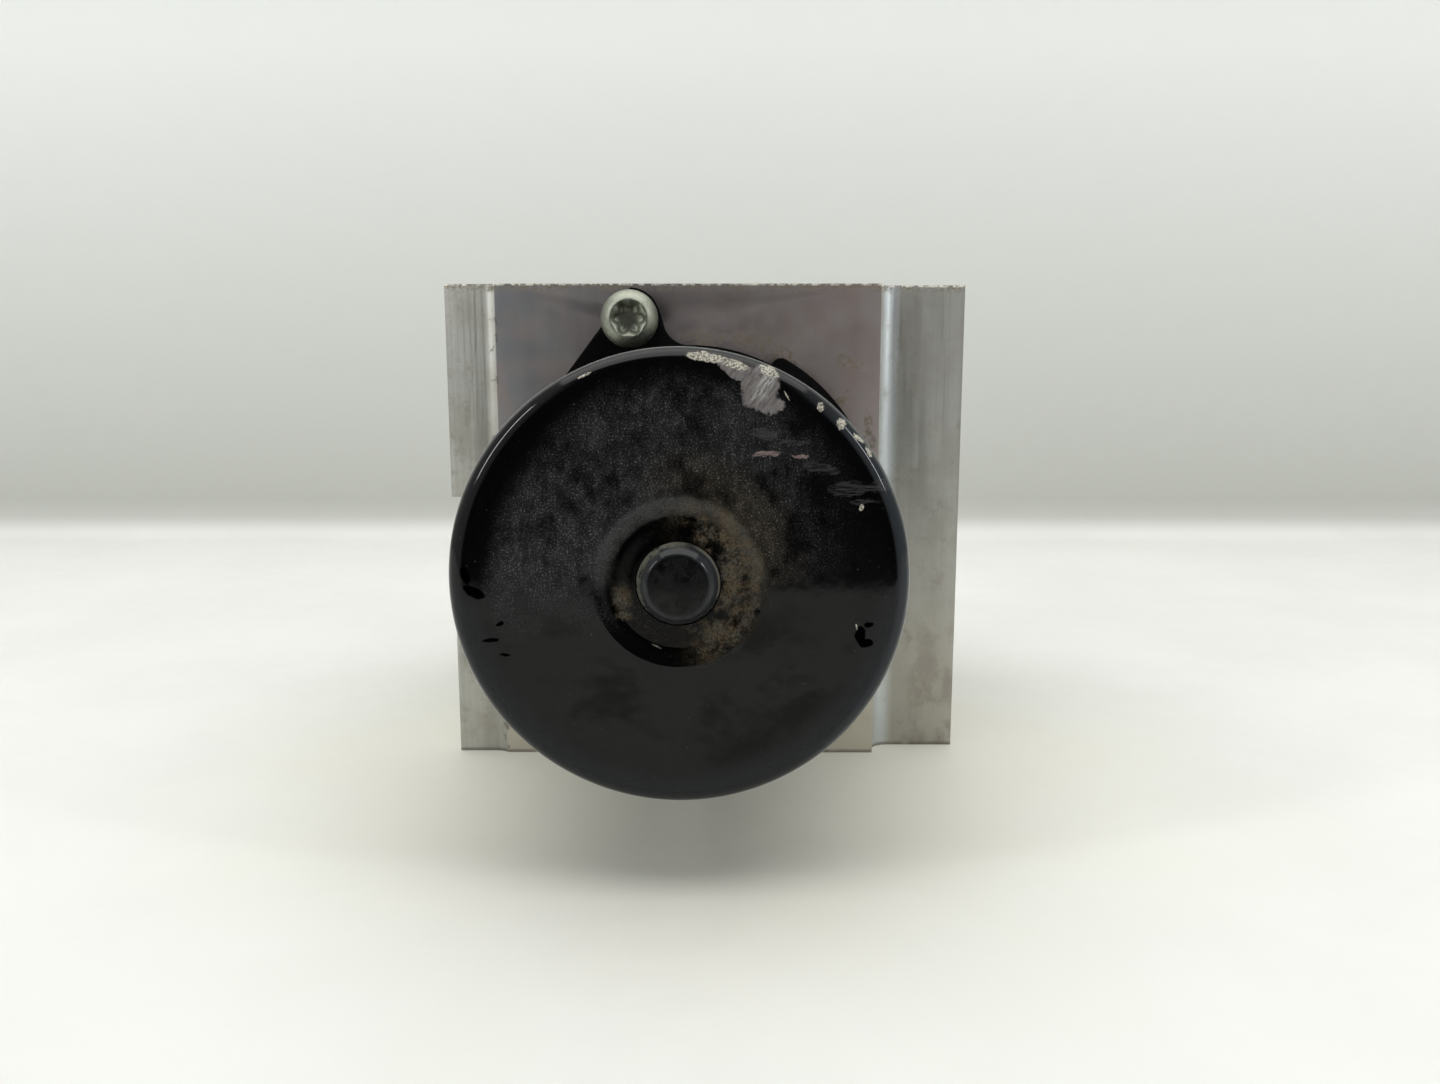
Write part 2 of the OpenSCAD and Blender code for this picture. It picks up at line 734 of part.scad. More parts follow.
// A packaged part on the board, centred at x and z
module chip(x, z, w, h, t) behind_block(x, z) translate([0, 0, board_low + board_t + t / 2])
    cube([w, h, t], center = true);

module board_components() color([0.12, 0.12, 0.12]) {
    chip(-24, 88, 16, 16, 1.6);
    chip(10, 90, 12, 12, 1.8);
    chip(30, 88, 10, 14, 2);
    for (i = [0:5]) chip(-36 + 14 * i, 20, 8, 6, 2.2);
    for (i = [0:7]) chip(-38 + 11 * i, 38, 3.2, 1.8, 1);
    for (i = [0:3]) behind_block(-30 + 12 * i, 48) drum(3, board_low + board_t, board_low + board_t + 3.5);
}

// ---- Assembly ----

valve_block();
gallery_plugs();
pump_plugs();
pump_cylinders();
accumulator_caps();
inlet_valves();
outlet_valves();
motor_can();
motor_flange();
motor_seal();
motor_screws();
magnets();
magnet_clips();
brush_plate();
rear_bush();
bearing_outer_ring();
terminal_pins();
terminal_guide();
ecu_housing();
ecu_cover();
connector_collar();
ecu_gasket();
ecu_screws();
coil_windings();
coil_bobbins();
coil_yokes();
circuit_board();
board_components();
pin_carrier();
connector_pins();
shaft();
armature_core();
armature_windings();
commutator_bars();
commutator_hub();
bearing_inner_ring();
bearing_balls();
bearing_cage();
eccentric_ring();
eccentric_bush();
pump_piston(-1);  // pump_piston_left
pump_piston(1);  // pump_piston_right
pump_spring(-1);  // pump_spring_left
pump_spring(1);  // pump_spring_right
accumulator_piston(-1);  // accumulator_piston_left
accumulator_piston(1);  // accumulator_piston_right
accumulator_spring(-1);  // accumulator_spring_left
accumulator_spring(1);  // accumulator_spring_right
brush(-1);  // brush_left
brush(1);  // brush_right
brush_spring(-1);  // brush_spring_left
brush_spring(1);  // brush_spring_right
plunger(valve_xs[0], inlet_z);  // inlet_plunger_1
plunger(valve_xs[1], inlet_z);  // inlet_plunger_2
plunger(valve_xs[2], inlet_z);  // inlet_plunger_3
plunger(valve_xs[3], inlet_z);  // inlet_plunger_4
plunger(valve_xs[0], outlet_z);  // outlet_plunger_1
plunger(valve_xs[1], outlet_z);  // outlet_plunger_2
plunger(valve_xs[2], outlet_z);  // outlet_plunger_3
plunger(valve_xs[3], outlet_z);  // outlet_plunger_4
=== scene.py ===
"""Looks for the hydraulic brake modulator: detailed meshes, materials, stage, light and camera."""

import json
import math

import bmesh
import bpy
from mathutils import Matrix, Vector


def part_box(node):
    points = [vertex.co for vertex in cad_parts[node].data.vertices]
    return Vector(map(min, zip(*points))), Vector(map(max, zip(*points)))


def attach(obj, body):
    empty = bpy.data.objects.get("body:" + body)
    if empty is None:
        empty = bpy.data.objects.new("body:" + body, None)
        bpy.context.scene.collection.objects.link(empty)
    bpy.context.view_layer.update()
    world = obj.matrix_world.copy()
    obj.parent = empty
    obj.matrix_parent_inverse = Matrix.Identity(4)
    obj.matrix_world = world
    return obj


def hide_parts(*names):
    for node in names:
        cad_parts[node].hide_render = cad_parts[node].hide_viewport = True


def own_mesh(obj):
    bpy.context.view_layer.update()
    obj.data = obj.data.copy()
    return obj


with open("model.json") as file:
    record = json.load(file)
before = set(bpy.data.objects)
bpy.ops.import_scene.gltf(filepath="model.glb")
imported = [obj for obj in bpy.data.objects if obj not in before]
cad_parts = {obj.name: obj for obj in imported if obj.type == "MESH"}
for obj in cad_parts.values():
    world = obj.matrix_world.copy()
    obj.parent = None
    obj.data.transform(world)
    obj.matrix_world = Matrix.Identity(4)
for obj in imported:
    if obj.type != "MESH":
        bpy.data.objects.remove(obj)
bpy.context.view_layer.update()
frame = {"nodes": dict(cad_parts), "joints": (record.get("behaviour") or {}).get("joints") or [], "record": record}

MM = 0.001
HOUSING = "housing"


# ---- Places read from the frame ----

block_low, block_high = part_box("valve_block")
can_low, can_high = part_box("motor_can")
screw_low, screw_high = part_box("motor_screws")
housing_low, housing_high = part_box("ecu_housing")
cover_low, cover_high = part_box("ecu_cover")

AXIS_X = (can_low.x + can_high.x) / 2
AXIS_Z = (can_low.z + can_high.z) / 2
FACE_Y = block_low.y                    # raised front face of the block
REAR_Y = block_high.y
BOSS_Y = can_low.y                      # top of the bearing boss
BOSS_HEIGHT = 3 * MM
END_Y = BOSS_Y + BOSS_HEIGHT            # flat end face of the can
CAN_R = (can_high.x - can_low.x) / 2
FACE = FACE_Y / MM                      # the same places in millimetres
REAR = REAR_Y / MM
TOP = block_high.z / MM
HALF_W = block_high.x / MM
AXIS = (AXIS_X / MM, AXIS_Z / MM)
COVER = cover_high.y / MM

# Pipe ports on top: x, y and the radius of the hole; each has a level face cut round its mouth
WHEEL_PORTS = [(x, FACE + 34, 4.6) for x in (-42, -14, 14, 42)]
MASTER_PORTS = [(x, FACE + 14, 5.5) for x in (-28, 28)]
PORT_FACES = [(x, y, r + 3.2) for x, y, r in WHEEL_PORTS + MASTER_PORTS]


# ---- Stage, light and camera ----

# Where the camera stands from the middle of the can's end, and how it is turned
CAMERA_ASIDE, CAMERA_BACK, CAMERA_HEIGHT = 0.00759, 0.18137, 0.09176
CAMERA_TILT, CAMERA_TURN = 0.1548, 0.0036
LENS_MM = 27.67


def make_camera():
    """The camera stands low in front of the can, looking slightly down at it."""
    data = bpy.data.cameras.new("camera")
    data.sensor_width = 36
    data.lens = LENS_MM
    data.clip_start = 0.01
    camera = bpy.data.objects.new("camera", data)
    bpy.context.scene.collection.objects.link(camera)
    camera.location = (AXIS_X + CAMERA_ASIDE, END_Y - CAMERA_BACK, CAMERA_HEIGHT)
    camera.rotation_euler = (math.radians(90) - CAMERA_TILT, 0, CAMERA_TURN)
    bpy.context.scene.camera = camera


def new_object(name, mesh):
    piece = bpy.data.objects.new(name, mesh)
    bpy.context.scene.collection.objects.link(piece)
    return piece


def make_stage():
    """A pale floor that runs up into a pale wall through a small cove."""
    half_width = 2.0
    front_y = -0.364
    wall_y = 0.347
    cove = 0.02
    wall_top = 1.4
    profile = [(front_y, 0.0), (wall_y - cove, 0.0)]
    cove_steps = 8
    for step in range(1, cove_steps + 1):
        turn = math.radians(90) * step / cove_steps
        profile.append((wall_y - cove + cove * math.sin(turn), cove - cove * math.cos(turn)))
    profile.append((wall_y, wall_top))
    bm = bmesh.new()
    rows = [[bm.verts.new((side * half_width, y, z)) for side in (-1, 1)] for y, z in profile]
    for low, high in zip(rows, rows[1:]):
        bm.faces.new((low[0], low[1], high[1], high[0]))
    mesh = bpy.data.meshes.new("floor")
    bm.to_mesh(mesh)
    bm.free()
    for polygon in mesh.polygons:
        polygon.use_smooth = True
    floor = new_object("floor", mesh)
    floor.data.materials.append(pale_floor())


def area_light(name, place, target, size, power, colour):
    """A rectangular light that looks from its place at a target."""
    data = bpy.data.lights.new(name, "AREA")
    data.shape = "RECTANGLE"
    data.size, data.size_y = size
    data.energy = power
    data.color = colour
    lamp = bpy.data.objects.new(name, data)
    bpy.context.scene.collection.objects.link(lamp)
    lamp.location = place
    lamp.rotation_mode = "QUATERNION"
    lamp.rotation_quaternion = (Vector(target) - Vector(place)).to_track_quat("-Z", "Y")


def make_lights():
    """A wide soft light overhead and two narrow upright ones, which give the rim its highlights."""
    warm, cool = (1.0, 0.995, 0.985), (0.97, 0.985, 1.0)
    middle = (0, 0, 0.05)
    area_light("ceiling_light", (0.0, -0.06, 1.1), (0, -0.06, 0), (1.6, 1.2), 12.0, warm)
    area_light("left_light", (-1.0, -0.55, 0.62), middle, (0.1, 0.55), 3.2, cool)
    area_light("right_light", (1.05, -0.5, 0.6), middle, (0.09, 0.5), 2.6, cool)


def make_world():
    """Even light from all round, apart from a dark doorway in front; plain pale to the camera."""
    world = bpy.data.worlds.new("studio")
    bpy.context.scene.world = world
    world.use_nodes = True
    world.node_tree.nodes.clear()
    w = Nodes(world.node_tree)
    x, y, z = w.axes(w.node("ShaderNodeTexCoord").outputs["Generated"])
    doorway = w.times(w.ramp(w.math("ABSOLUTE", x), 0.62, 0.36), w.ramp(y, -0.1, -0.3),
                      w.ramp(z, 0.92, 0.74))
    strength = w.ramp(doorway, 0, 1, 0.62, 0.006, smooth=False)
    around = w.node("ShaderNodeBackground", {"Color": (0.92, 0.93, 0.915), "Strength": strength})
    seen = w.node("ShaderNodeBackground", {"Color": (0.70, 0.72, 0.68)})
    by_camera = w.node("ShaderNodeLightPath").outputs["Is Camera Ray"]
    mix = w.node("ShaderNodeMixShader", {0: by_camera, 1: around.outputs[0], 2: seen.outputs[0]})
    w.node("ShaderNodeOutputWorld", {"Surface": mix.outputs[0]})


# ---- Material building ----

class Nodes:
    """Short calls for making and joining the nodes of one tree."""

    def __init__(self, tree):
        self.tree = tree

    def node(self, kind, inputs=None, **settings):
        made = self.tree.nodes.new(kind)
        for name, value in settings.items():
            setattr(made, name, value)
        for socket, value in (inputs or {}).items():
            self.feed(made.inputs[socket], value)
        return made

    def feed(self, socket, value):
        if isinstance(value, bpy.types.NodeSocket):
            self.tree.links.new(value, socket)
        elif socket.type == "RGBA" and len(value) == 3:
            socket.default_value = (*value, 1)
        else:
            socket.default_value = value

    def vector(self, operation, a, b=None, Scale=None):
        inputs = {0: a}
        if b is not None:
            inputs[1] = b
        if Scale is not None:
            inputs["Scale"] = Scale
        return self.node("ShaderNodeVectorMath", inputs, operation=operation).outputs[0]

    def math(self, operation, *values):
        return self.node("ShaderNodeMath", dict(enumerate(values)), operation=operation).outputs[0]

    def plus(self, a, b):
        return self.math("ADD", a, b)

    def minus(self, a, b):
        return self.math("SUBTRACT", a, b)

    def times(self, first, *rest):
        for value in rest:
            first = self.math("MULTIPLY", first, value)
        return first

    def most(self, first, *rest):
        """The greatest of the values; for masks, what any of them covers."""
        for value in rest:
            first = self.math("MAXIMUM", first, value)
        return first

    def reach(self, coords, kept=None):
        """How far the coordinates are from their origin, along the kept axes or all three."""
        if kept:
            coords = self.vector("MULTIPLY", coords, kept)
        return self.node("ShaderNodeVectorMath", {0: coords}, operation="LENGTH").outputs["Value"]

    def axes(self, vector):
        return self.node("ShaderNodeSeparateXYZ", {0: vector}).outputs[:3]

    def ramp(self, value, low, high, to_low=0.0, to_high=1.0, smooth=True):
        """Runs from to_low to to_high while value runs from low to high."""
        made = self.node("ShaderNodeMapRange", {"Value": value, "From Min": low, "From Max": high,
                                                "To Min": to_low, "To Max": to_high})
        made.interpolation_type = "SMOOTHSTEP" if smooth else "LINEAR"
        return made.outputs["Result"]

    def mix(self, mask, a, b):
        """Colour a, or b where the mask is 1."""
        made = self.node("ShaderNodeMix", data_type="RGBA")
        self.feed(made.inputs[0], mask)
        self.feed(made.inputs[6], a)
        self.feed(made.inputs[7], b)
        return made.outputs[2]

    def blend(self, mask, a, b):
        """Number a, or b where the mask is 1."""
        made = self.node("ShaderNodeMix", data_type="FLOAT")
        self.feed(made.inputs[0], mask)
        self.feed(made.inputs[2], a)
        self.feed(made.inputs[3], b)
        return made.outputs[0]


class Shader(Nodes):
    """A Principled material, and what feeds it in millimetres of object space."""

    def __init__(self, name, **constants):
        self.material = bpy.data.materials.new(name)
        self.material.use_nodes = True
        super().__init__(self.material.node_tree)
        self.bsdf = self.tree.nodes["Principled BSDF"]
        for socket, value in constants.items():
            self.bsdf.inputs[socket.replace("_", " ")].default_value = value
        self.mm = self.vector("SCALE", self.node("ShaderNodeTexCoord").outputs["Object"], Scale=1000)

    def facing(self):
        """The three parts of the direction in which the surface looks."""
        return self.axes(self.node("ShaderNodeTexCoord").outputs["Normal"])

    def noise(self, size, detail=4, rough=0.55, stretch=(1, 1, 1), shift=0.0, vector=None):
        """Noise whose features are about size millimetres, longer by stretch along each axis."""
        scaled = self.vector("MULTIPLY", vector or self.mm, tuple(1 / (size * s) for s in stretch))
        moved = self.vector("ADD", scaled, (shift, shift * 1.7, -shift))
        inputs = {"Vector": moved, "Scale": 1, "Detail": detail, "Roughness": rough}
        return self.node("ShaderNodeTexNoise", inputs).outputs["Fac"]

    def cells(self, size, shift):
        """Distance from the middles of scattered cells about size millimetres across."""
        moved = self.vector("ADD", self.vector("SCALE", self.mm, Scale=1 / size), (shift, shift, shift))
        return self.node("ShaderNodeTexVoronoi", {"Vector": moved, "Scale": 1}).outputs[0]

    def about(self, centre):
        """Coordinates in millimetres from a point of the frame."""
        return self.vector("SUBTRACT", self.mm, tuple(value / MM for value in centre))

    def spot(self, coords, x, z, width, height, turn=0.0, soft=0.12):
        """An oval mark on a face that looks along Y: its place, half sizes and turn in degrees."""
        inputs = {"Vector": coords, "Location": (x, 0, z), "Rotation": (0, -math.radians(turn), 0),
                  "Scale": (width, 1e6, height)}
        local = self.node("ShaderNodeMapping", inputs, vector_type="TEXTURE").outputs[0]
        return self.ramp(self.reach(local), 1 + soft, 1 - soft)

    def spots(self, coords, marks):
        return self.most(*[self.spot(coords, *mark) for mark in marks])

    def ragged(self, coords, *waves):
        """Coordinates shaken by noise, so that marks get broken outlines: pairs of size and reach."""
        for size, reach in waves:
            inputs = {"Vector": self.vector("SCALE", coords, Scale=1 / size), "Scale": 1, "Detail": 2}
            shake = self.node("ShaderNodeTexNoise", inputs).outputs["Color"]
            centred = self.vector("SUBTRACT", shake, (0.5, 0.5, 0.5))
            coords = self.vector("ADD", coords, self.vector("SCALE", centred, Scale=2 * reach))
        return coords

    def rings(self, coords, places, raw=False):
        """A disc round each place (x, y, radius) of a level face; raw, how far beyond the nearest one."""
        nearest = None
        for x, y, radius in places:
            away = self.vector("SUBTRACT", coords, (x, y, 0))
            beyond = self.minus(self.reach(away, kept=(1, 1, 0)), radius)
            nearest = beyond if nearest is None else self.math("MINIMUM", nearest, beyond)
        return nearest if raw else self.ramp(nearest, 0.15, -0.15)

    def bump(self, height, strength, distance_mm):
        inputs = {"Height": height, "Strength": strength, "Distance": distance_mm * MM}
        return self.node("ShaderNodeBump", inputs).outputs["Normal"]

    def finish(self, colour=None, roughness=None, normal=None, metallic=None):
        given = {"Base Color": colour, "Roughness": roughness, "Normal": normal, "Metallic": metallic}
        for socket, value in given.items():
            if value is not None:
                self.feed(self.bsdf.inputs[socket], value)
        return self.material


def pale_floor():
    """Matt greenish white, with painted shadow tinting it yellow round the object and painted shade making it
    darker low on the wall.
    """
    s = Shader("pale_floor", Roughness=0.6)
    height = s.axes(s.mm)[2]
    tone = s.ramp(s.noise(60, detail=5), 0.3, 0.7)
    colour = s.mix(tone, (0.75, 0.755, 0.72), (0.78, 0.785, 0.75))
    # Painted shadow: the floor is tinted yellow round the object, where its shadow falls.
    reach = s.reach(s.vector("SUBTRACT", s.mm, (0, -10, 0)))
    reach = s.plus(reach, s.times(s.noise(45, detail=5, shift=4), 70))
    colour = s.mix(s.ramp(reach, 185, 70), colour, (0.755, 0.745, 0.655))
    # Painted shade: the wall is darker low down, near the floor.
    wall = s.mix(s.ramp(height, 5, 260, smooth=False), (0.52, 0.53, 0.49), (0.90, 0.92, 0.89))
    return s.finish(s.mix(s.ramp(height, 1, 12), colour, wall), s.ramp(s.noise(8), 0.3, 0.7, 0.5, 0.7))


bpy.context.scene.view_settings.view_transform = "Standard"
make_camera()
make_world()
make_lights()
make_stage()


# ---- Materials ----

def metal(name, light, dark, size, rough=(0.25, 0.4), stretch=(1, 1, 1), depth=0.02):
    """Bare or plated metal: two tones in a grain that runs along stretch, with fine pits."""
    s = Shader(name, Metallic=1.0)
    grain = s.noise(size, detail=6, stretch=stretch)
    cloud = s.noise(size * 12, detail=3, shift=3)
    tone = s.times(s.ramp(grain, 0.3, 0.7), s.ramp(cloud, 0.25, 0.75, 0.6, 1.0))
    pits = s.times(s.ramp(s.cells(size * 1.7, shift=5), 0.0, 0.22, 1.0, 0.0), s.ramp(cloud, 0.5, 0.65))
    height = s.minus(grain, s.times(pits, 0.4))
    return s.finish(s.mix(tone, dark, light), s.ramp(grain, 0.3, 0.7, *rough), s.bump(height, 0.5, depth))


def moulded(name, light, dark, grain_mm=0.35, rough=(0.42, 0.6), depth=0.03, gloss=0.5):
    """Moulded plastic or rubber with a spark-eroded grain and faint flow marks."""
    s = Shader(name, Specular_IOR_Level=gloss)
    grain = s.noise(grain_mm, detail=3)
    flow = s.noise(18, detail=4, stretch=(1, 1, 3), shift=7)
    tone = s.plus(s.times(grain, 0.4), s.times(flow, 0.6))
    return s.finish(s.mix(s.ramp(tone, 0.35, 0.65), dark, light), s.ramp(flow, 0.3, 0.7, *rough),
                    s.bump(grain, 0.6, depth))


def can_paint():
    """Gloss black paint, dusty above and round the boss, chipped at the upper right of the rim.

    Marks are placed in millimetres from the motor axis: x, z, half width, half height, turn and softness.
    """
    s = Shader("can_paint", Specular_IOR_Level=0.25)
    place = s.mm = s.about((AXIS_X, END_Y, AXIS_Z))
    x, y, z = s.axes(place)
    front = s.ramp(y, 4.5, 3.2)         # the end and the rim
    face = s.ramp(y, 1.6, 0.9)          # the end alone
    radius = s.reach(place, kept=(1, 0, 1))
    flaked = s.ragged(place, (1.6, 0.5), (0.5, 0.28), (0.25, 0.12))
    torn = s.ragged(place, (3.0, 0.9), (0.6, 0.35), (0.25, 0.12))
    on_boss = s.times(s.ramp(y, -0.1, -0.6), s.ramp(radius, 7.8, 7.4))
    off_boss = s.minus(1.0, on_boss)

    # Wiped dust: a thin fog and fine specks in clouds, thick on the upper half
    fine = s.noise(0.30, detail=3, rough=0.75)
    specks = s.ramp(fine, 0.53, 0.68, 0.0, 0.95)
    clouds = s.noise(7, detail=7, rough=0.66, shift=2)
    clouds = s.ramp(clouds, 0.34, 0.62, 0.12, 1.0)
    wiped = s.noise(1.2, detail=4, stretch=(1, 1, 2.2), shift=6)
    wiped = s.ramp(wiped, 0.36, 0.6, 0.6, 1.0)
    upper = s.ramp(s.minus(z, s.times(x, 0.12)), -9, 5)
    outermost = s.plus(radius, s.ramp(s.minus(s.times(z, 0.3), x), 16, 34, 0.0, 3.4))
    inner = s.ramp(outermost, 37.4, 31.0)
    right = s.ramp(x, 32, 12, 0.05, 1.0)
    dust = s.times(clouds, wiped, upper, inner, right, off_boss)
    earthy = s.times(s.ramp(radius, 25, 17), s.ramp(x, -10, 6))
    fog = s.mix(earthy, (0.023, 0.023, 0.025), (0.030, 0.026, 0.020))
    dusted = s.mix(s.times(dust, 0.9), (0.0022, 0.0022, 0.0024), fog)
    grit = s.mix(earthy, (0.185, 0.187, 0.18), (0.20, 0.175, 0.14))
    colour = s.mix(s.times(dust, specks), dusted, grit)

    # Painted reflections: bluish grey near and on the rim, standing for the pale room reflected in it; stray
    # specks, and damp patches on the lower half
    # Painted reflection: a bluish band near the rim on the lower half, as if the rim reflected the floor.
    painted_rim_reflection = s.times(s.ramp(radius, 32.5, 36.5), s.ramp(z, 2, -6))
    colour = s.mix(s.times(painted_rim_reflection, 0.8), colour, (0.0075, 0.0085, 0.0115))
    # Painted reflection: a bluish grey band on the right of the rim, as if it reflected the room.
    painted_right_rim_reflection = s.times(s.ramp(radius, 36.3, 37.2), s.ramp(x, 18, 30))
    colour = s.mix(painted_right_rim_reflection, colour, (0.014, 0.018, 0.022))
    stray = s.noise(0.5, detail=2, rough=0.7, shift=17)
    stray = s.times(s.ramp(stray, 0.70, 0.76), face)
    colour = s.mix(s.times(stray, 0.6), colour, (0.12, 0.12, 0.115))
    damp = s.noise(8, detail=6, rough=0.6, stretch=(1.6, 1, 1), shift=21)
    damp = s.times(s.ramp(damp, 0.46, 0.62, 0.0, 0.42), s.ramp(radius, 35, 30), s.ramp(z, 0, -10))

    # Dirt in the dish round the boss: black and dull below, a grey slope above, brown grains on the right
    crumbled = s.ragged(place, (2.2, 0.6), (0.5, 0.25))
    reach = s.reach(crumbled, kept=(1, 0, 1))
    dish = s.times(s.ramp(reach, 6.4, 8.0), s.ramp(reach, 15.4, 13.0))
    hollow = s.times(s.ramp(reach, 13.8, 11.4), off_boss)
    slope = s.times(s.ramp(reach, 10.8, 12.8), s.ramp(reach, 15.6, 13.6), s.ramp(z, -3.0, 4.0))
    thin = s.noise(2.6, detail=6, rough=0.7, shift=8)
    slope = s.times(slope, s.ramp(thin, 0.34, 0.62, 0.25, 0.9), s.ramp(fine, 0.36, 0.6, 0.45, 1.0))
    colour = s.mix(hollow, colour, (0.004, 0.004, 0.004))
    colour = s.mix(s.times(hollow, specks, clouds, 0.5), colour, (0.10, 0.095, 0.08))
    warm_side = s.ramp(s.minus(x, s.times(z, 0.5)), -8.0, 4.0)
    colour = s.mix(slope, colour, s.mix(warm_side, (0.046, 0.047, 0.047), (0.072, 0.060, 0.042)))
    side = s.ramp(s.plus(x, s.times(z, 0.12)), -3.0, 6.0)
    grains = s.ramp(s.noise(0.42, detail=4, rough=0.8, shift=4), 0.38, 0.64, 0.3, 1.0)
    patchy = s.ramp(s.noise(3.4, detail=5, rough=0.65, shift=1), 0.36, 0.6)
    caked = s.times(dish, side, patchy)
    left_marks = [(-9.6, -2.6, 1.5, 2.0, 0, 0.6), (-9.2, -5.6, 1.2, 0.8, 0, 0.6)]
    left_cake = s.spots(s.ragged(torn, (1.2, 0.7)), left_marks)
    caked = s.times(s.most(caked, s.times(left_cake, 0.8)), grains, off_boss)
    hue = s.ramp(s.noise(2.0, detail=4, shift=11), 0.4, 0.6)
    brown = s.mix(hue, (0.125, 0.088, 0.045), (0.120, 0.105, 0.075))
    colour = s.mix(s.times(caked, 0.82), colour, brown)

    # Dust on the upper left of the boss's shoulder, a thin cream line along its right edge, and painted
    # reflection: the shoulder bluish grey as if it reflected the pale room
    shoulder = s.times(on_boss, s.ramp(radius, 5.9, 6.7))
    corner = s.ramp(s.minus(s.times(z, 0.6), x), 1.0, 5.0)
    settled = s.times(shoulder, corner, s.ramp(s.noise(1.2, detail=4), 0.3, 0.6))
    colour = s.mix(settled, colour, (0.17, 0.165, 0.115))
    thread = s.times(s.ramp(radius, 6.55, 6.75), s.ramp(radius, 7.15, 6.95))
    thread = s.times(thread, on_boss, s.ramp(x, 2.0, 4.0), s.ramp(z, -3.0, -1.5))
    colour = s.mix(s.times(thread, 0.8), colour, (0.20, 0.19, 0.14))
    # Painted reflection: bluish grey on the boss's shoulder outside its level face.
    colour = s.mix(s.times(on_boss, s.ramp(radius, 4.6, 5.6), 0.5), colour, (0.035, 0.038, 0.042))

    # Chips along the rim, scratches, a peeled patch with a lighter core, scrapes, scuffs and lost paint
    chips = s.spots(flaked, [
        (4.6, 37.2, 3.2, 0.8, -8), (9.0, 36.2, 2.6, 0.7, -15), (15.0, 34.9, 1.9, 0.7, -27),
        (23.4, 29.2, 0.6, 0.75), (26.8, 26.4, 0.75, 0.95), (31.3, 21.9, 0.45, 0.9, 35),
        (29.7, 24.1, 0.3, 1.2, 45), (30.3, 12.6, 0.4, 0.55)])
    scratch = s.spots(place, [
        (-3.8, -11.0, 0.95, 0.16, -25), (-15.1, 34.3, 1.2, 0.2, 25), (17.8, 31.0, 0.9, 0.12, -60),
        (29.9, -7.6, 0.14, 0.75, 15)])
    broken = s.ragged(place, (2.4, 1.2), (0.8, 0.5), (0.25, 0.16))
    peeled = s.spots(broken, [
        (13.6, 32.3, 2.9, 3.6, -12), (9.6, 35.2, 3.2, 1.2, -22), (15.4, 29.3, 1.9, 1.1, 15)])
    core = s.spots(flaked, [(14.2, 32.6, 1.2, 2.4, -28, 0.5), (13.0, 31.4, 0.5, 1.6, -35, 0.5)])
    scraped = s.spots(torn, [(14.6, 21.5, 2.2, 0.5, 0), (20.1, 21.3, 1.4, 0.38, 3)])
    scuffs = s.spots(torn, [
        (28.5, 15.8, 3.6, 1.2, 8), (33.3, 16.2, 1.9, 1.1, 12), (31.0, 13.6, 2.8, 0.35, 2),
        (23.5, 19.4, 3.2, 0.8, -12), (14.5, 25.0, 2.8, 0.9, 0), (19.0, 23.4, 2.6, 0.4, 2)])
    lost = s.spots(s.ragged(place, (1.4, 0.35)), [
        (30.5, -8.9, 0.85, 1.5), (31.5, -10.2, 1.35, 0.75), (31.9, -7.1, 0.9, 0.5, 12),
        (-34.2, -1.6, 2.0, 0.9, -25), (-31.6, -9.8, 1.5, 0.4, 5), (-30.0, -6.9, 0.8, 0.4, 30),
        (-29.3, -12.4, 0.9, 0.25), (-35.6, 1.2, 0.7, 1.5, 15)])
    brushed = s.noise(0.35, detail=4, rough=0.7, stretch=(9, 1, 1), shift=14)
    scuffs = s.times(scuffs, s.ramp(brushed, 0.36, 0.6))
    scraped = s.times(scraped, s.ramp(brushed, 0.34, 0.5))
    colour = s.mix(s.times(scuffs, face, 0.75), colour, (0.055, 0.054, 0.054))
    rusty = s.mix(s.ramp(fine, 0.42, 0.58), (0.20, 0.12, 0.105), (0.26, 0.22, 0.21))
    colour = s.mix(s.times(scraped, face, 0.8), colour, rusty)
    turn = {"Vector": place, "Rotation": (0, math.radians(55), 0)}
    slanted = s.node("ShaderNodeMapping", turn).outputs[0]
    smeared = s.noise(0.5, detail=6, rough=0.75, stretch=(6, 1, 1), vector=slanted)
    primer = s.mix(s.ramp(smeared, 0.3, 0.7), (0.085, 0.075, 0.075), (0.25, 0.235, 0.23))
    primer = s.mix(s.times(core, s.ramp(smeared, 0.4, 0.62)), primer, (0.42, 0.41, 0.395))
    colour = s.mix(s.times(peeled, face), colour, primer)
    crumb = s.ramp(s.noise(0.35, detail=3), 0.35, 0.65)
    filler = s.mix(crumb, (0.12, 0.11, 0.09), (0.62, 0.59, 0.50))
    colour = s.mix(s.times(s.most(chips, scratch), front), colour, filler)

    # Gloss, dull where dusty or bare; metallic with a black colour makes a spot that reflects nothing
    bare = s.times(s.most(chips, peeled, scraped), front)
    matt = s.most(bare, s.times(slope, 0.9), settled, s.times(dust, 0.4), caked)
    rough = s.blend(s.ramp(s.noise(14, shift=5), 0.35, 0.65), 0.05, 0.085)
    rough = s.blend(matt, rough, 0.62)
    lost = s.times(lost, face)
    colour = s.mix(lost, colour, (0.0005, 0.0005, 0.0005))
    rubbed = s.noise(2.2, detail=5, rough=0.6, shift=13)
    rubbed = s.ramp(rubbed, 0.35, 0.65, 0.12, 0.38)
    rough = s.blend(s.times(on_boss, s.ramp(radius, 5.2, 4.5)), rough, rubbed)
    black = s.most(lost, s.times(hollow, s.minus(0.75, s.most(caked, slope))))
    orange_peel = s.times(s.noise(1.6, detail=1, shift=9), 0.05)
    crust = s.times(s.noise(0.3), s.most(s.times(bare, 0.9), s.times(caked, 0.8)))
    depth = s.minus(s.plus(orange_peel, crust), s.times(bare, 0.8))
    return s.finish(colour, rough, s.bump(depth, 1.0, 0.12), s.most(black, damp))


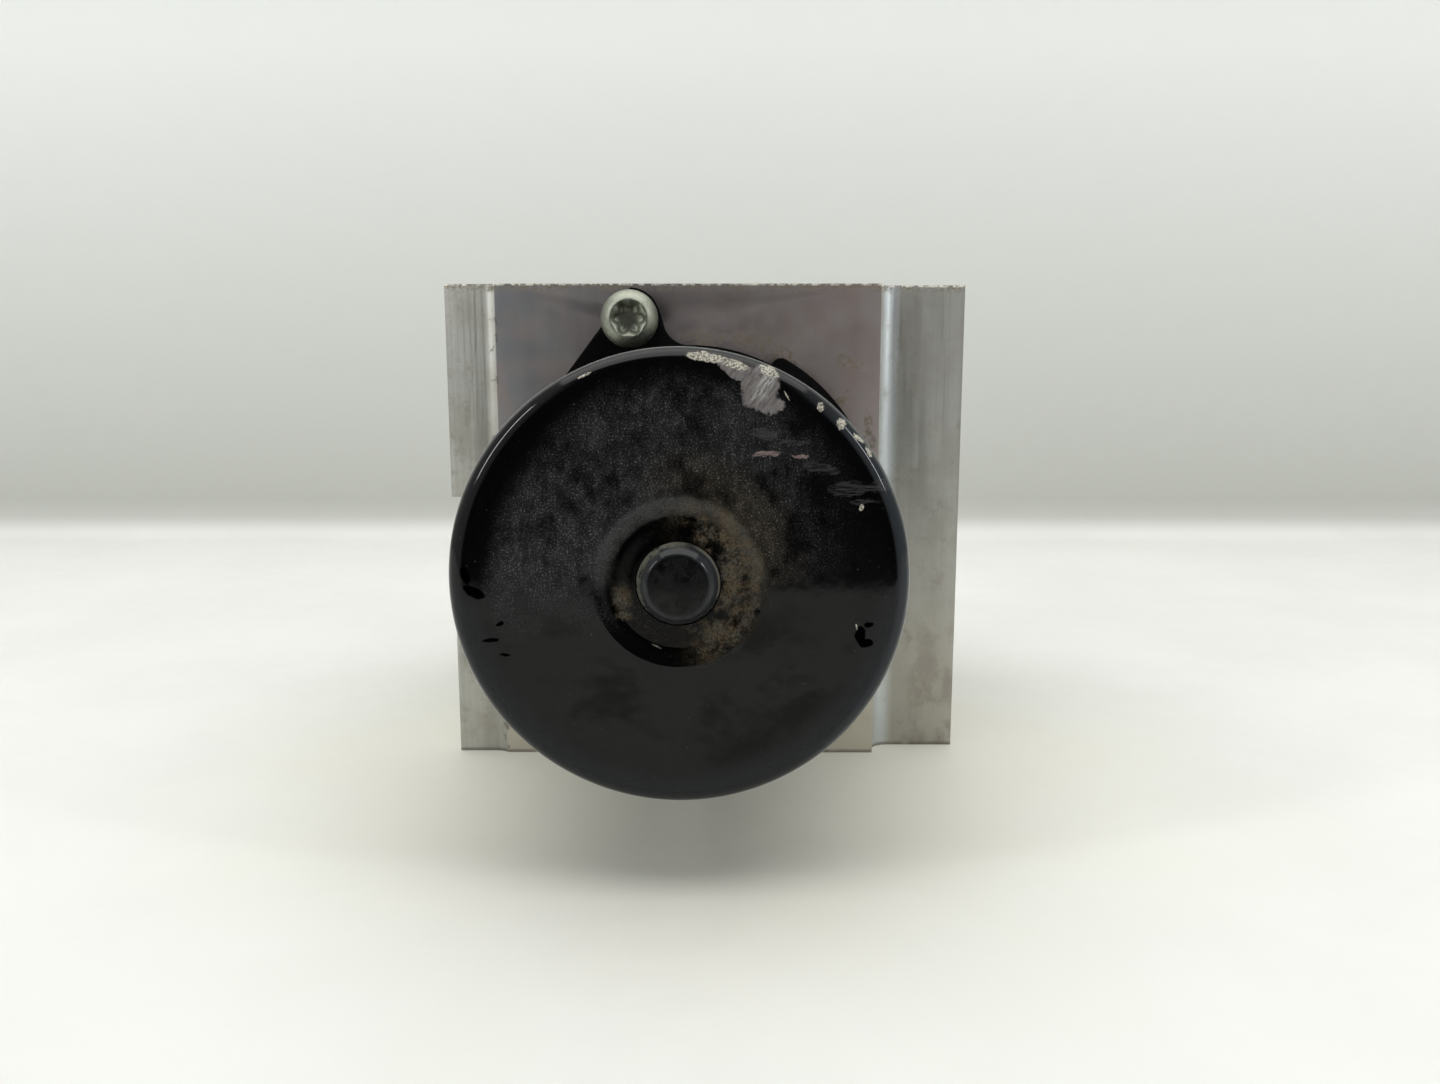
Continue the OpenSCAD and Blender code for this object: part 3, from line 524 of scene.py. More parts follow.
def block_metal():
    """Extruded aluminium: die streaks up its sides, sawn ends, a tinted film on the raised front face."""
    s = Shader("block_metal")
    x, y, z = s.axes(s.mm)
    _, looks_y, looks_z = s.facing()
    flat = s.ramp(s.math("ABSOLUTE", looks_z), 0.6, 0.8)
    raised = s.times(s.ramp(y, FACE + 0.25, FACE + 0.1), s.ramp(looks_y, -0.8, -0.95))
    streaks = s.noise(0.5, detail=5, rough=0.65, stretch=(1, 1, 60))
    bands = s.noise(3.5, detail=3, stretch=(1, 1, 60), shift=4)
    sawn = s.noise(0.35, detail=4, rough=0.6, stretch=(70, 1, 1), shift=8)
    grain = s.blend(flat, streaks, sawn)
    faced = s.times(flat, s.rings(s.mm, PORT_FACES))
    beyond = s.rings(s.mm, PORT_FACES, raw=True)
    chatter = s.math("SINE", s.times(beyond, 14.0))
    grain = s.blend(faced, grain, s.math("MULTIPLY_ADD", chatter, 0.22, 0.66))
    rim_line = s.times(s.ramp(beyond, -0.35, -0.1), s.ramp(beyond, 0.1, -0.05), flat)
    cloud = s.noise(9, detail=6, rough=0.62, shift=1)
    pits = s.ramp(s.noise(0.8, detail=4, rough=0.75, shift=12), 0.63, 0.72)
    patches = s.ramp(s.noise(5, detail=6, rough=0.72, shift=6), 0.52, 0.68)
    plain = s.mix(s.ramp(grain, 0.3, 0.7), (0.40, 0.40, 0.365), (0.53, 0.53, 0.49))
    banded = s.times(s.ramp(bands, 0.35, 0.65), s.blend(flat, 0.4, 0.0))
    plain = s.mix(banded, plain, (0.60, 0.60, 0.57))
    plain = s.mix(s.times(s.ramp(cloud, 0.42, 0.66), 0.5), plain, (0.38, 0.355, 0.30))

    # Painted light and shade on the groove at the right: lighter low down, darker towards its top and across the
    # deeper strip beside it, with a cool painted reflection in its cove; that strip is also stained
    # Painted light: the groove and the strip at the right are lighter low down, warmer beyond x 42.5 to 45 mm.
    painted_light_low = s.mix(s.ramp(x, 42.5, 45), (0.74, 0.75, 0.72), (0.68, 0.65, 0.57))
    plain = s.mix(s.times(s.ramp(x, 39, 41), s.ramp(z, 65, 20, 0.0, 0.55)), plain, painted_light_low)
    stain = s.ramp(s.noise(7, detail=5, rough=0.62, stretch=(1, 1, 1.8), shift=15), 0.42, 0.6)
    stain = s.times(stain, s.ramp(x, 45, 52), s.ramp(z, 48, 16, 0.0, 0.6))
    plain = s.mix(stain, plain, (0.33, 0.285, 0.245))
    # Painted shade: the deeper strip at the right is darkened, and the groove beside it is darker towards its top.
    plain = s.mix(s.ramp(x, 43.0, 46.0, 0.0, 0.36), plain, (0.20, 0.195, 0.18))
    plain = s.mix(s.times(s.ramp(x, 41, 43), s.ramp(z, 55, 95, 0.0, 0.22)), plain, (0.22, 0.21, 0.20))
    # Painted reflection: a cool bright band in the cove, where it would reflect the light from the right.
    cove = s.times(s.ramp(x, 40.4, 41.2), s.ramp(x, 45.5, 43.5))
    plain = s.mix(s.times(cove, 0.5), plain, (0.60, 0.67, 0.71))

    # The film is bluish on the left and reddish on the right, and paler towards the base
    across = s.ramp(x, -46, 22)
    film = s.mix(across, (0.295, 0.30, 0.315), (0.355, 0.285, 0.27))
    film = s.mix(s.ramp(cloud, 0.35, 0.65), film, (0.335, 0.295, 0.29))
    film = s.mix(s.times(s.ramp(bands, 0.35, 0.65), 0.35), film, (0.37, 0.35, 0.345))
    paler_low = s.ramp(s.plus(z, s.times(cloud, 20)), 70, 30)
    film = s.mix(paler_low, film, (0.60, 0.575, 0.50))
    colour = s.mix(raised, plain, film)

    # Brown smears on the film, placed from the motor axis
    place = s.ragged(s.about((AXIS_X, FACE_Y, AXIS_Z)), (5, 2.2), (1.2, 0.5))
    smears = s.spots(place, [
        (3.0, 42.5, 6, 2.0, -5), (14.5, 41.5, 5, 2.6, -10), (20.5, 37.5, 4, 3.0, -30),
        (36.5, 37.0, 3.5, 1.3, -20), (41.0, 20.0, 1.6, 5.0, 0), (34.0, 27.5, 1.5, 4.5, -38),
        (-24.0, 35.0, 1.0, 3.0, -35), (7.1, 50.8, 0.9, 0.7, 0)])
    smears = s.times(smears, raised, s.ramp(s.noise(1.5, detail=5, rough=0.7, shift=3), 0.4, 0.62))
    colour = s.mix(s.times(smears, 0.7), colour, (0.13, 0.10, 0.045))

    # Dirt and painted highlights (cream glints) along the top edge, nicks down the left step, a darker band along
    # the base
    upright = s.minus(1.0, flat)
    edge = s.ramp(s.noise(1.1, detail=5, rough=0.7, shift=9), 0.42, 0.6)
    edge = s.times(s.ramp(z, TOP - 2.4, TOP - 0.4), edge, upright)
    colour = s.mix(s.times(edge, 0.8), colour, (0.20, 0.175, 0.115))
    # Painted shadow: a dark line round the border of each level port face.
    colour = s.mix(s.times(rim_line, 0.6), colour, (0.16, 0.155, 0.14))
    # Painted highlight: cream glints along the top edge of the front faces, where the edge catches the light.
    painted_glint = s.ramp(s.noise(1.6, detail=4, rough=0.7, shift=27), 0.46, 0.56)
    painted_glint = s.times(s.ramp(z, TOP - 0.5, TOP - 0.35), painted_glint, s.ramp(looks_y, -0.25, -0.5))
    colour = s.mix(painted_glint, colour, (0.92, 0.87, 0.76))
    step = s.times(s.ramp(x, -50.6, -49.6), s.ramp(x, -47.6, -48.2))
    nicks = s.times(step, s.ramp(s.noise(4.5, detail=4, rough=0.7, shift=23), 0.55, 0.63))
    base = s.times(s.ramp(z, 1.1, 0.3), s.ramp(s.noise(2.5, detail=4, shift=19), 0.25, 0.5, 0.35, 1.0))
    nicks = s.times(s.most(s.times(nicks, upright), base), 0.7)
    colour = s.mix(nicks, colour, (0.17, 0.155, 0.125))
    off_film = s.times(s.blend(raised, 1.0, 0.3), s.blend(faced, 1.0, 0.15))
    dirt = s.times(s.most(pits, s.times(patches, 0.45)), off_film, 0.8)
    colour = s.mix(dirt, colour, (0.22, 0.19, 0.13))
    soiled = s.most(dirt, smears, s.times(edge, 0.8))
    rough = s.blend(raised, s.ramp(grain, 0.3, 0.7, 0.42, 0.58), s.ramp(cloud, 0.3, 0.7, 0.44, 0.54))
    rough = s.blend(soiled, rough, 0.75)
    metallic = s.minus(s.blend(raised, 0.72, 0.8), s.times(soiled, 0.6))
    height = s.minus(s.times(grain, 0.3), pits)
    height = s.minus(height, s.times(s.plus(faced, rim_line), 1.5))
    return s.finish(colour, rough, s.bump(height, s.blend(raised, 0.5, 0.2), 0.05), metallic)


def housing_plastic():
    """Glass-filled black plastic: fine spark grain, flow marks, dust on what faces up, and a few scuffs."""
    s = Shader("housing_plastic")
    grain = s.noise(0.28, detail=3)
    flow = s.noise(16, detail=5, rough=0.6, stretch=(1, 1, 2.5), shift=7)
    level = s.ramp(s.facing()[2], 0.25, 0.9)
    clouds = s.ramp(s.noise(7, detail=6, rough=0.65, shift=3), 0.38, 0.66)
    specks = s.ramp(s.noise(0.4, detail=3, rough=0.75, shift=9), 0.5, 0.68)
    dust = s.times(s.blend(level, 0.12, 0.7), clouds, s.blend(specks, 0.35, 1.0))
    lines = s.noise(0.5, detail=4, rough=0.7, stretch=(14, 14, 1), shift=5)
    scuff = s.times(s.ramp(lines, 0.60, 0.68), s.ramp(s.noise(12, detail=2, shift=13), 0.55, 0.65))
    colour = s.mix(s.ramp(flow, 0.35, 0.65), (0.014, 0.014, 0.015), (0.023, 0.023, 0.025))
    colour = s.mix(s.times(dust, 0.6), colour, (0.11, 0.108, 0.10))
    colour = s.mix(s.times(scuff, 0.35), colour, (0.09, 0.09, 0.09))
    rough = s.blend(dust, s.ramp(flow, 0.3, 0.7, 0.40, 0.56), 0.75)
    return s.finish(colour, rough, s.bump(grain, 0.7, 0.035))


METALS = {
    "block_aluminium": ((0.44, 0.43, 0.41), (0.30, 0.295, 0.28), 0.25, (0.3, 0.5), (1, 1, 40)),
    "zinc_plate": ((0.38, 0.40, 0.33), (0.26, 0.27, 0.22), 0.5, (0.42, 0.55)),
    "turned_steel": ((0.56, 0.56, 0.55), (0.40, 0.40, 0.40), 0.15, (0.18, 0.3), (1, 8, 1)),
    "spring_steel": ((0.34, 0.33, 0.32), (0.22, 0.21, 0.20), 0.2, (0.25, 0.4)),
    "cast_aluminium": ((0.55, 0.55, 0.54), (0.38, 0.38, 0.37), 0.5, (0.4, 0.6)),
    "laminated_steel": ((0.30, 0.30, 0.31), (0.16, 0.16, 0.17), 0.5, (0.35, 0.55), (20, 0.6, 20)),
    "copper": ((0.80, 0.36, 0.18), (0.52, 0.20, 0.09), 0.4, (0.22, 0.38), (6, 1, 1)),
    "bronze": ((0.62, 0.42, 0.19), (0.42, 0.26, 0.11), 0.4, (0.35, 0.55)),
}
MOULDINGS = {
    "black_paint": ((0.006, 0.006, 0.0065), (0.003, 0.003, 0.003), 0.5, (0.2, 0.35), 0.01, 0.16),
    "ferrite": ((0.06, 0.06, 0.062), (0.035, 0.035, 0.036), 0.6, (0.55, 0.75)),
    "brown_plastic": ((0.20, 0.11, 0.05), (0.13, 0.07, 0.03), 0.5, (0.4, 0.55)),
    "carbon": ((0.035, 0.035, 0.035), (0.015, 0.015, 0.016), 0.25, (0.4, 0.6)),
    "black_rubber": ((0.03, 0.03, 0.03), (0.018, 0.018, 0.018), 0.3, (0.6, 0.8)),
    "red_rubber": ((0.30, 0.05, 0.03), (0.20, 0.03, 0.02), 0.3, (0.55, 0.7)),
    "bobbin_plastic": ((0.02, 0.05, 0.035), (0.012, 0.032, 0.022), 0.4, (0.35, 0.5)),
    "board_laminate": ((0.02, 0.13, 0.05), (0.012, 0.08, 0.03), 0.6, (0.25, 0.4)),
    "chip_plastic": ((0.03, 0.03, 0.03), (0.015, 0.015, 0.015), 0.2, (0.4, 0.6)),
}
MATERIALS = {slot: metal(slot, *look) for slot, look in METALS.items()}
MATERIALS.update({slot: moulded(slot, *look) for slot, look in MOULDINGS.items()})
MATERIALS["housing_plastic"] = housing_plastic()


def dress(piece, material):
    """Gives a piece one material."""
    piece.data.materials.clear()
    piece.data.materials.append(material)


node_slots = {part["node"]: part["material_slot"] for part in frame["record"]["subparts"]}
for name, node in frame["nodes"].items():
    dress(node, MATERIALS[node_slots[name]])


# ---- Pieces ----

def smooth(mesh, angle=32):
    for polygon in mesh.polygons:
        polygon.use_smooth = True
    mesh.set_sharp_from_angle(angle=math.radians(angle))


def mesh_from(bm, name):
    mesh = bpy.data.meshes.new(name)
    bm.to_mesh(mesh)
    bm.free()
    return mesh


def welded(node):
    """The mesh of a CAD node, with the corners that its triangles share made one."""
    bm = bmesh.new()
    bm.from_mesh(frame["nodes"][node].data)
    bmesh.ops.remove_doubles(bm, verts=bm.verts, dist=2e-6)
    return bm


def finished(piece, slot, *nodes, material=None):
    """Material, taken from the slot unless one is given, body and replaced nodes of a new piece."""
    dress(piece, material or MATERIALS[slot])
    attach(piece, HOUSING)
    if nodes:
        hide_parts(*nodes)
    return piece


def softened(node, width_mm, material=None):
    """A copy of a CAD node with its sharp edges rounded, which stands for the node."""
    bm = welded(node)
    bmesh.ops.dissolve_limit(bm, angle_limit=math.radians(0.5), verts=bm.verts, edges=bm.edges)
    piece = new_object(node + "_body", mesh_from(bm, node + "_body"))
    bevel = piece.modifiers.new("edges", "BEVEL")
    bevel.width = width_mm * MM
    bevel.segments = 2
    bevel.limit_method = "ANGLE"
    bevel.angle_limit = math.radians(35)
    bevel.use_clamp_overlap = True
    bevel.miter_outer = "MITER_ARC"
    graph = bpy.context.evaluated_depsgraph_get()
    rounded = bpy.data.meshes.new_from_object(piece.evaluated_get(graph))
    piece.modifiers.clear()
    piece.data = rounded
    smooth(rounded)
    return finished(piece, node_slots[node], node, material=material)


def arc(centre_r, centre_h, radius, start, end, steps):
    """Profile points on an arc, as (radius from the axis, height); degrees from outwards to upwards."""
    turns = [math.radians(start + (end - start) * step / steps) for step in range(steps + 1)]
    return [(centre_r + radius * math.cos(t), centre_h + radius * math.sin(t)) for t in turns]


def ring(bm, sides, point):
    """A ring of corners about the axis along -Y; point gives the radius and height at an angle."""
    row = []
    for step in range(sides):
        angle = 2 * math.pi * step / sides
        r, h = point(angle)
        row.append(bm.verts.new((r * math.cos(angle), -h, r * math.sin(angle))))
    return row


def skin(bm, rows):
    """Faces between each closed row of corners and the next; a row may be one corner, repeated."""
    for low, high in zip(rows, rows[1:]):
        for i in range(len(low)):
            j = (i + 1) % len(low)
            corners = dict.fromkeys((low[i], low[j], high[j], high[i]))
            if len(corners) > 2:
                bm.faces.new(list(corners))


def turned(profile, sides=64):
    """A profile of (radius, height) in millimetres, turned about the axis along -Y."""
    bm = bmesh.new()
    rows = []
    for r, h in profile:
        if r < 1e-6:
            rows.append([bm.verts.new((0, -h, 0))] * sides)
        else:
            rows.append(ring(bm, sides, lambda angle: (r, h)))
    skin(bm, rows)
    bmesh.ops.remove_doubles(bm, verts=bm.verts, dist=1e-4)
    return bm


def closed(profile):
    """A profile that ends where it starts, for a ring."""
    return profile + profile[:1]


def facing(direction, place):
    """Turns -Y towards a direction and moves to a place, given in millimetres."""
    turn = Vector((0, -1, 0)).rotation_difference(Vector(direction)).to_matrix().to_4x4()
    return Matrix.Translation(Vector(place) * MM) @ turn


def gathered(name, parts, angle=38):
    """One object from meshes in millimetres, each moved to its place in the frame by a matrix."""
    whole = bmesh.new()
    for bm, matrix in parts:
        bm.transform(matrix @ Matrix.Scale(MM, 4))
        bmesh.ops.recalc_face_normals(bm, faces=bm.faces)
        part = mesh_from(bm, "part")
        whole.from_mesh(part)
        bpy.data.meshes.remove(part)
    mesh = mesh_from(whole, name)
    smooth(mesh, angle)
    return new_object(name, mesh)


AT_MOTOR = Matrix.Translation((AXIS_X, FACE_Y, AXIS_Z))
IN_PLACE = Matrix.Identity(4)           # for a mesh that is already made where it belongs
LEFT, RIGHT, UP, DOWN, BACK = (-1, 0, 0), (1, 0, 0), (0, 0, 1), (0, 0, -1), (0, 1, 0)
PLUG_PLACES = [facing((side, 0, 0), (side * HALF_W, FACE + 15, AXIS[1])) for side in (-1, 1)]
ECU_SCREW_PLACES = [(x, z) for x in (-53.5, 53.5) for z in (12, 98)]


def make_can():
    """The motor can: drawn wall, round rim, flat end with a dished ring, and the rear bush's boss."""
    length = (FACE_Y - END_Y) / MM
    base = (FACE_Y - can_high.y) / MM
    radius = CAN_R / MM
    top = length + BOSS_HEIGHT / MM
    wall, edge = 2.0, 3.0
    boss_r, boss_sunk = 7.25, 3.6
    flat_r, tight, slope = 4.85, 0.9, 50    # the boss's level face, its edge, and where its shoulder starts
    bush_r = 5.05
    dish_in, dish_out, dish_depth, crown = 7.6, 14.6, 0.8, 0.18
    inner_top = length - wall
    profile = [(radius - wall, base), (radius - 0.2, base), (radius, base + 0.2)]
    profile += [(radius, base + (length - edge - base) * step / 12) for step in range(1, 12)]
    profile += arc(radius - edge, length - edge, edge, 0, 90, 18)
    profile += [(radius - edge - 2 * step, length) for step in range(1, 11)]
    for step in range(25):
        share = step / 24
        sunk = dish_depth * (1 - math.cos(2 * math.pi * share)) / 2
        profile.append((dish_out + (dish_in - dish_out) * share, length - sunk))
    profile += [(boss_r + 0.1, length + 0.02), (boss_r, length + 0.08)]
    face_h = top - crown * (flat_r / boss_r) ** 2
    lean = math.radians(slope)
    brink_r, brink_h = flat_r + tight * math.cos(lean), face_h - tight * (1 - math.sin(lean))
    wide = (boss_r - brink_r) / (1 - math.cos(lean))
    profile += arc(boss_r - wide, brink_h - wide * math.sin(lean), wide, 12, slope, 14)
    profile += arc(flat_r, face_h - tight, tight, slope, 86, 10)[1:]
    profile += [(r, top - crown * (r / boss_r) ** 2) for r in (4.6, 4.0, 3.0, 2.0, 1.0, 0)]
    profile += [(0, length + 1.0), (bush_r, length + 1.0), (bush_r, length - boss_sunk)]
    profile += [(boss_r, length - boss_sunk), (boss_r, inner_top), (radius - wall - 2, inner_top)]
    profile += arc(radius - wall - 2, inner_top - 2, 2, 80, 0, 6)
    profile += [(radius - wall, base)]
    can = gathered("motor_can_shell", [(turned(profile, 256), AT_MOTOR)], 40)
    return finished(can, "black_paint", "motor_can", material=can_paint())


def screw_mesh(head, recess, shank_r, shank, sides=96):
    """A screw along -Y from its seat: threaded shank, turned head and a six-lobed, funnel-shaped recess.

    head holds (radius, height) and recess (radius, height, depth of the lobes).
    """
    bm = bmesh.new()
    levels = [(shank_r * 0.7, -shank, 0), (shank_r, -shank + 0.8, 0)]
    for turn in range(int(shank) - 3):
        h = -shank + 1.2 + turn
        levels += [(shank_r * 0.9, h, 0), (shank_r, h + 0.5, 0)]
    levels.append((shank_r, 0, 0))
    levels += [(r, h, 0) for r, h in head] + recess
    rows = []
    for r, h, lobe in levels:
        rows.append(ring(bm, sides, lambda angle: (r * (1 + lobe * math.cos(6 * angle)), h)))
    skin(bm, rows)
    bm.faces.new(rows[0])
    bm.faces.new(rows[-1])
    return bm


def make_flange_screws():
    """Two screws, opposite each other about the motor axis."""
    head = [(6.25, 0), (6.5, 0.25), (6.5, 1.15), (6.4, 1.5), (6.1, 2.15), (5.7, 2.75), (5.2, 3.3),
            (4.75, 3.65), (4.45, 3.85)]
    recess = [(4.2, 3.97, 0.01), (4.0, 3.96, 0.03), (3.75, 3.75, 0.06), (3.3, 3.2, 0.1), (2.95, 2.6, 0.12),
              (2.8, 2.0, 0.12), (2.5, 1.75, 0.1), (1.2, 1.62, 0), (0.5, 1.7, 0)]
    head_r, head_h = 6.5 * MM, 4 * MM
    reach_x = screw_low.x + head_r - AXIS_X
    reach_z = screw_high.z - head_r - AXIS_Z
    parts = []
    for side in (1, -1):
        place = (AXIS_X + side * reach_x, screw_low.y + head_h, AXIS_Z + side * reach_z)
        parts.append((screw_mesh(head, recess, 2.45, 19), Matrix.Translation(place)))
    return finished(gathered("flange_screws", parts), "zinc_plate", "motor_screws")


def make_can_bead():
    """The rolled edge by which the can is held on its flange."""
    bead = [(-0.1, 2.5), (0.9, 2.5), (1.1, 2.8), (1.1, 3.4), (0.8, 3.9), (0.3, 4.1), (-0.1, 4.4)]
    profile = closed([(CAN_R / MM + r, h) for r, h in bead])
    return finished(gathered("can_bead", [(turned(profile, 192), AT_MOTOR)]), "black_paint")


def thread_ring(core, top, length, pitch=1.0, depth=0.4):
    """The ridges of an internal thread, from a little below the mouth of its hole."""
    ridges = [(core - 0.01, -top)]
    for turn in range(int((length - top) / pitch)):
        h = -top - turn * pitch
        ridges += [(core - depth, h - pitch * 0.4), (core - depth, h - pitch * 0.55)]
        ridges.append((core - 0.05, h - pitch * 0.95))
    ridges.append((core - 0.01, ridges[-1][1]))
    return turned(closed(ridges), 72)


def make_port_threads():
    """Threads of the pipe ports on top and of the bracket hole in the left side."""
    parts = [(thread_ring(r, 1.3, 12), facing(UP, (x, y, TOP))) for x, y, r in WHEEL_PORTS]
    parts += [(thread_ring(r, 1.3, 13), facing(UP, (x, y, TOP))) for x, y, r in MASTER_PORTS]
    parts.append((thread_ring(2.5, 3.2, 12, 0.8, 0.3), facing(LEFT, (-HALF_W, FACE + 8, 42))))
    return finished(gathered("port_threads", parts), "block_aluminium")


def make_pump_plugs():
    """Turned plugs over the two pump bores."""
    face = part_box("pump_plugs")[1].x / MM - HALF_W
    bore_end = 44.2                     # how far from the motor axis the pump bores end
    parts = []
    for side, place in zip((-1, 1), PLUG_PLACES):
        inner_end = side * AXIS[0] + bore_end - HALF_W
        profile = [(0, inner_end), (9.15, inner_end), (9.15, face - 0.5), (8.75, face), (8.2, face),
                   (7.95, face - 0.35), (6.6, face - 0.35), (6.35, face), (5.4, face), (5.0, face - 0.3),
                   (5.0, face - 1.9), (3.2, face - 2.0), (0, face - 2.4)]
        parts.append((turned(profile, 96), place))
    return finished(gathered("pump_plug_bodies", parts), "zinc_plate", "pump_plugs")


def make_staking():
    """Block metal that is rolled over the rim of each pump plug, with six punch marks."""
    levels = [(9.2, -1.6, 0), (8.95, -2.2, 0.1), (8.55, -2.9, 0.35), (8.35, -3.36, 0.25), (9.2, -3.4, 0)]
    parts = []
    for place in PLUG_PLACES:
        bm = bmesh.new()
        rows = []
        for r, h, dent in levels:
            def punched(angle):
                mark = max(0.0, math.cos(6 * angle)) ** 8 * dent
                return r + mark, h - mark
            rows.append(ring(bm, 96, punched))
        skin(bm, closed(rows))
        parts.append((bm, place))
    return finished(gathered("plug_staking", parts), "block_aluminium")


def make_gallery_plugs():
    """Sleeves with a pressed-in ball, which close the cross drillings."""
    profile = [(0, -5.5), (2.6, -5.5), (2.6, -0.8), (2.45, -0.6), (2.15, -0.6), (2.05, -0.85)]
    profile += arc(0, -2.6, 2.0, 25, 90, 8)[:-1] + [(0, -0.6)]
    places = [(LEFT, (-HALF_W, FACE + 27, 86)), (RIGHT, (HALF_W, FACE + 27, 64))]
    places += [(BACK, (x, REAR, 86)) for x in (-28, 28)]
    parts = [(turned(profile, 48), facing(*place)) for place in places]
    return finished(gathered("gallery_plug_balls", parts), "zinc_plate", "gallery_plugs")


def make_accumulator_caps():
    """Drawn caps in the base, with a rolled rim and a breather hole."""
    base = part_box("accumulator_caps")[0].z / MM
    profile = [(1, -3.3), (11.45, -3.3), (11.45, -0.1), (11.2, 0), (10.2, 0), (9.9, -0.2), (9.4, -0.9),
               (8.9, -1.05), (2.4, -0.75), (1.4, -0.85), (1, -1.1)]
    places = [facing(DOWN, (AXIS[0] + x, FACE + 28, base)) for x in (-27, 27)]
    parts = [(turned(closed(profile), 96), place) for place in places]
    return finished(gathered("accumulator_cap_shells", parts), "zinc_plate", "accumulator_caps")


def make_ecu_screws():
    """Four long screws through the cover and the housing into the block."""
    head = [(4.2, 0), (4.4, 0.2), (4.4, 0.9), (4.25, 1.5), (3.9, 2.2), (3.4, 2.8), (2.9, 3.1)]
    recess = [(2.7, 3.18, 0.01), (2.5, 3.1, 0.04), (2.2, 2.7, 0.09), (2.0, 2.2, 0.12), (1.9, 1.4, 0.12),
              (1.6, 1.2, 0.1), (0.6, 1.1, 0), (0.3, 1.15, 0)]
    places = [facing(BACK, (x, COVER, z)) for x, z in ECU_SCREW_PLACES]
    parts = [(screw_mesh(head, recess, 2, 46.5, 72), place) for place in places]
    return finished(gathered("ecu_screw_set", parts), "zinc_plate", "ecu_screws")


def bar(size, centre, round_mm=0.35):
    """A bar with rounded edges, in millimetres of the frame."""
    bm = bmesh.new()
    bmesh.ops.create_cube(bm, size=1)
    bm.transform(Matrix.Translation(centre) @ Matrix.Diagonal((*size, 1)))
    bmesh.ops.bevel(bm, geom=bm.edges[:], offset=round_mm, segments=2, profile=0.5, affect="EDGES")
    return bm, IN_PLACE


def frame_bar(width, height, corner, thick, low_y, high_y, middle_z, steps=8):
    """A rounded rectangular frame that looks along Y: outer size, wall and reach along Y."""
    bm = bmesh.new()

    def loop(shrink, y):
        r = max(corner - shrink, 0.2)
        half_w, half_h = width / 2 - shrink - r, height / 2 - shrink - r
        row = []
        for quarter, (sx, sz) in enumerate(((1, 1), (-1, 1), (-1, -1), (1, -1))):
            for step in range(steps + 1):
                a = math.radians(90) * (quarter + step / steps)
                x, z = sx * half_w + r * math.cos(a), sz * half_h + r * math.sin(a)
                row.append(bm.verts.new((x, y, middle_z + z)))
        return row

    soft = min(0.35, thick / 3)
    rows = [loop(0, low_y), loop(0, high_y - soft), loop(soft, high_y), loop(thick - soft, high_y),
            loop(thick, high_y - soft), loop(thick, low_y)]
    skin(bm, closed(rows))
    return bm, IN_PLACE


def make_ecu_ribs():
    """Moulded rim and ribs on the electronics housing, and columns along its screws."""
    wall_x, low_z, high_z = housing_high.x / MM, housing_low.z / MM, housing_high.z / MM
    deep = COVER - REAR
    middle_y = REAR + deep / 2 - 0.5
    rim = 2.4
    parts = [frame_bar(2 * wall_x + rim, high_z - low_z + rim, 8, rim, REAR + 0.02, REAR + 3,
                       (low_z + high_z) / 2)]
    for z in (24, 40, 56, 72, 88):
        parts += [bar((1.8, deep - 7, 1.6), (side * (wall_x + 0.3), middle_y, z)) for side in (-1, 1)]
    for x in (-42, -28, -14, 0, 14, 28, 42):
        parts += [bar((1.6, deep - 7, 1.8), (x, middle_y, z)) for z in (low_z - 0.3, high_z + 0.3)]
    column = [(0, 0.5), (5.4, 0.5), (5.4, deep - 4.2), (5.1, deep - 3.8), (0, deep - 3.8)]
    parts += [(turned(column, 48), facing(BACK, (x, REAR, z))) for x, z in ECU_SCREW_PLACES]
    return finished(gathered("ecu_ribs", parts), "housing_plastic")


def make_cover_details():
    """Weld bead, ribs and a plain framed field on the cover, and pads under its screws."""
    wide, high = (cover_high.x - cover_low.x) / MM, (cover_high.z - cover_low.z) / MM
    middle_z = (cover_low.z + cover_high.z) / 2 / MM
    rib_y = COVER + 0.4
    parts = [frame_bar(wide - 3, high - 3, 5.5, 1.2, COVER - 0.3, COVER + 0.5, middle_z),
             frame_bar(78, 30, 3, 1.1, COVER - 0.3, COVER + 0.8, 29)]
    parts += [bar((1.4, 1.6, 15), (x, rib_y, 92)) for x in (-30, -20, -10, 0, 10, 20, 30)]
    parts += [bar((62, 1.6, 1.4), (0, rib_y, 100))]
    parts += [bar((1.4, 1.6, 34), (x, rib_y, 56)) for x in (-46, 46)]
    pad = [(0, -0.4), (5.9, -0.4), (5.9, 0.3), (5.6, 0.6), (4.9, 0.6), (0, 0.6)]
    parts += [(turned(pad, 64), facing(BACK, (x, COVER - 0.55, z))) for x, z in ECU_SCREW_PLACES]
    return finished(gathered("cover_ribs", parts), "housing_plastic")


def make_breather():
    """A vented cap on the cover: a ribbed rim round a lower disc."""
    place = facing(BACK, (-42, COVER, 90))
    rim = [(4.6, -0.3), (6.2, -0.3), (6.2, 1.6), (5.8, 2.0), (5.0, 2.0), (4.7, 1.7), (4.6, 1.2)]
    disc = [(0, -0.3), (4.7, -0.3), (4.7, 0.9), (4.3, 1.2), (1.6, 1.3), (1.2, 1.7), (0, 1.8)]
    parts = [(turned(closed(rim), 72), place), (turned(disc, 72), place)]
    for spoke in range(6):
        tooth, _ = bar((1.0, 0.8, 1.6), (0, -1.6, 5.4), 0.2)
        parts.append((tooth, place @ Matrix.Rotation(math.radians(60 * spoke), 4, "Y")))
    return finished(gathered("breather_cap", parts), "black_rubber")


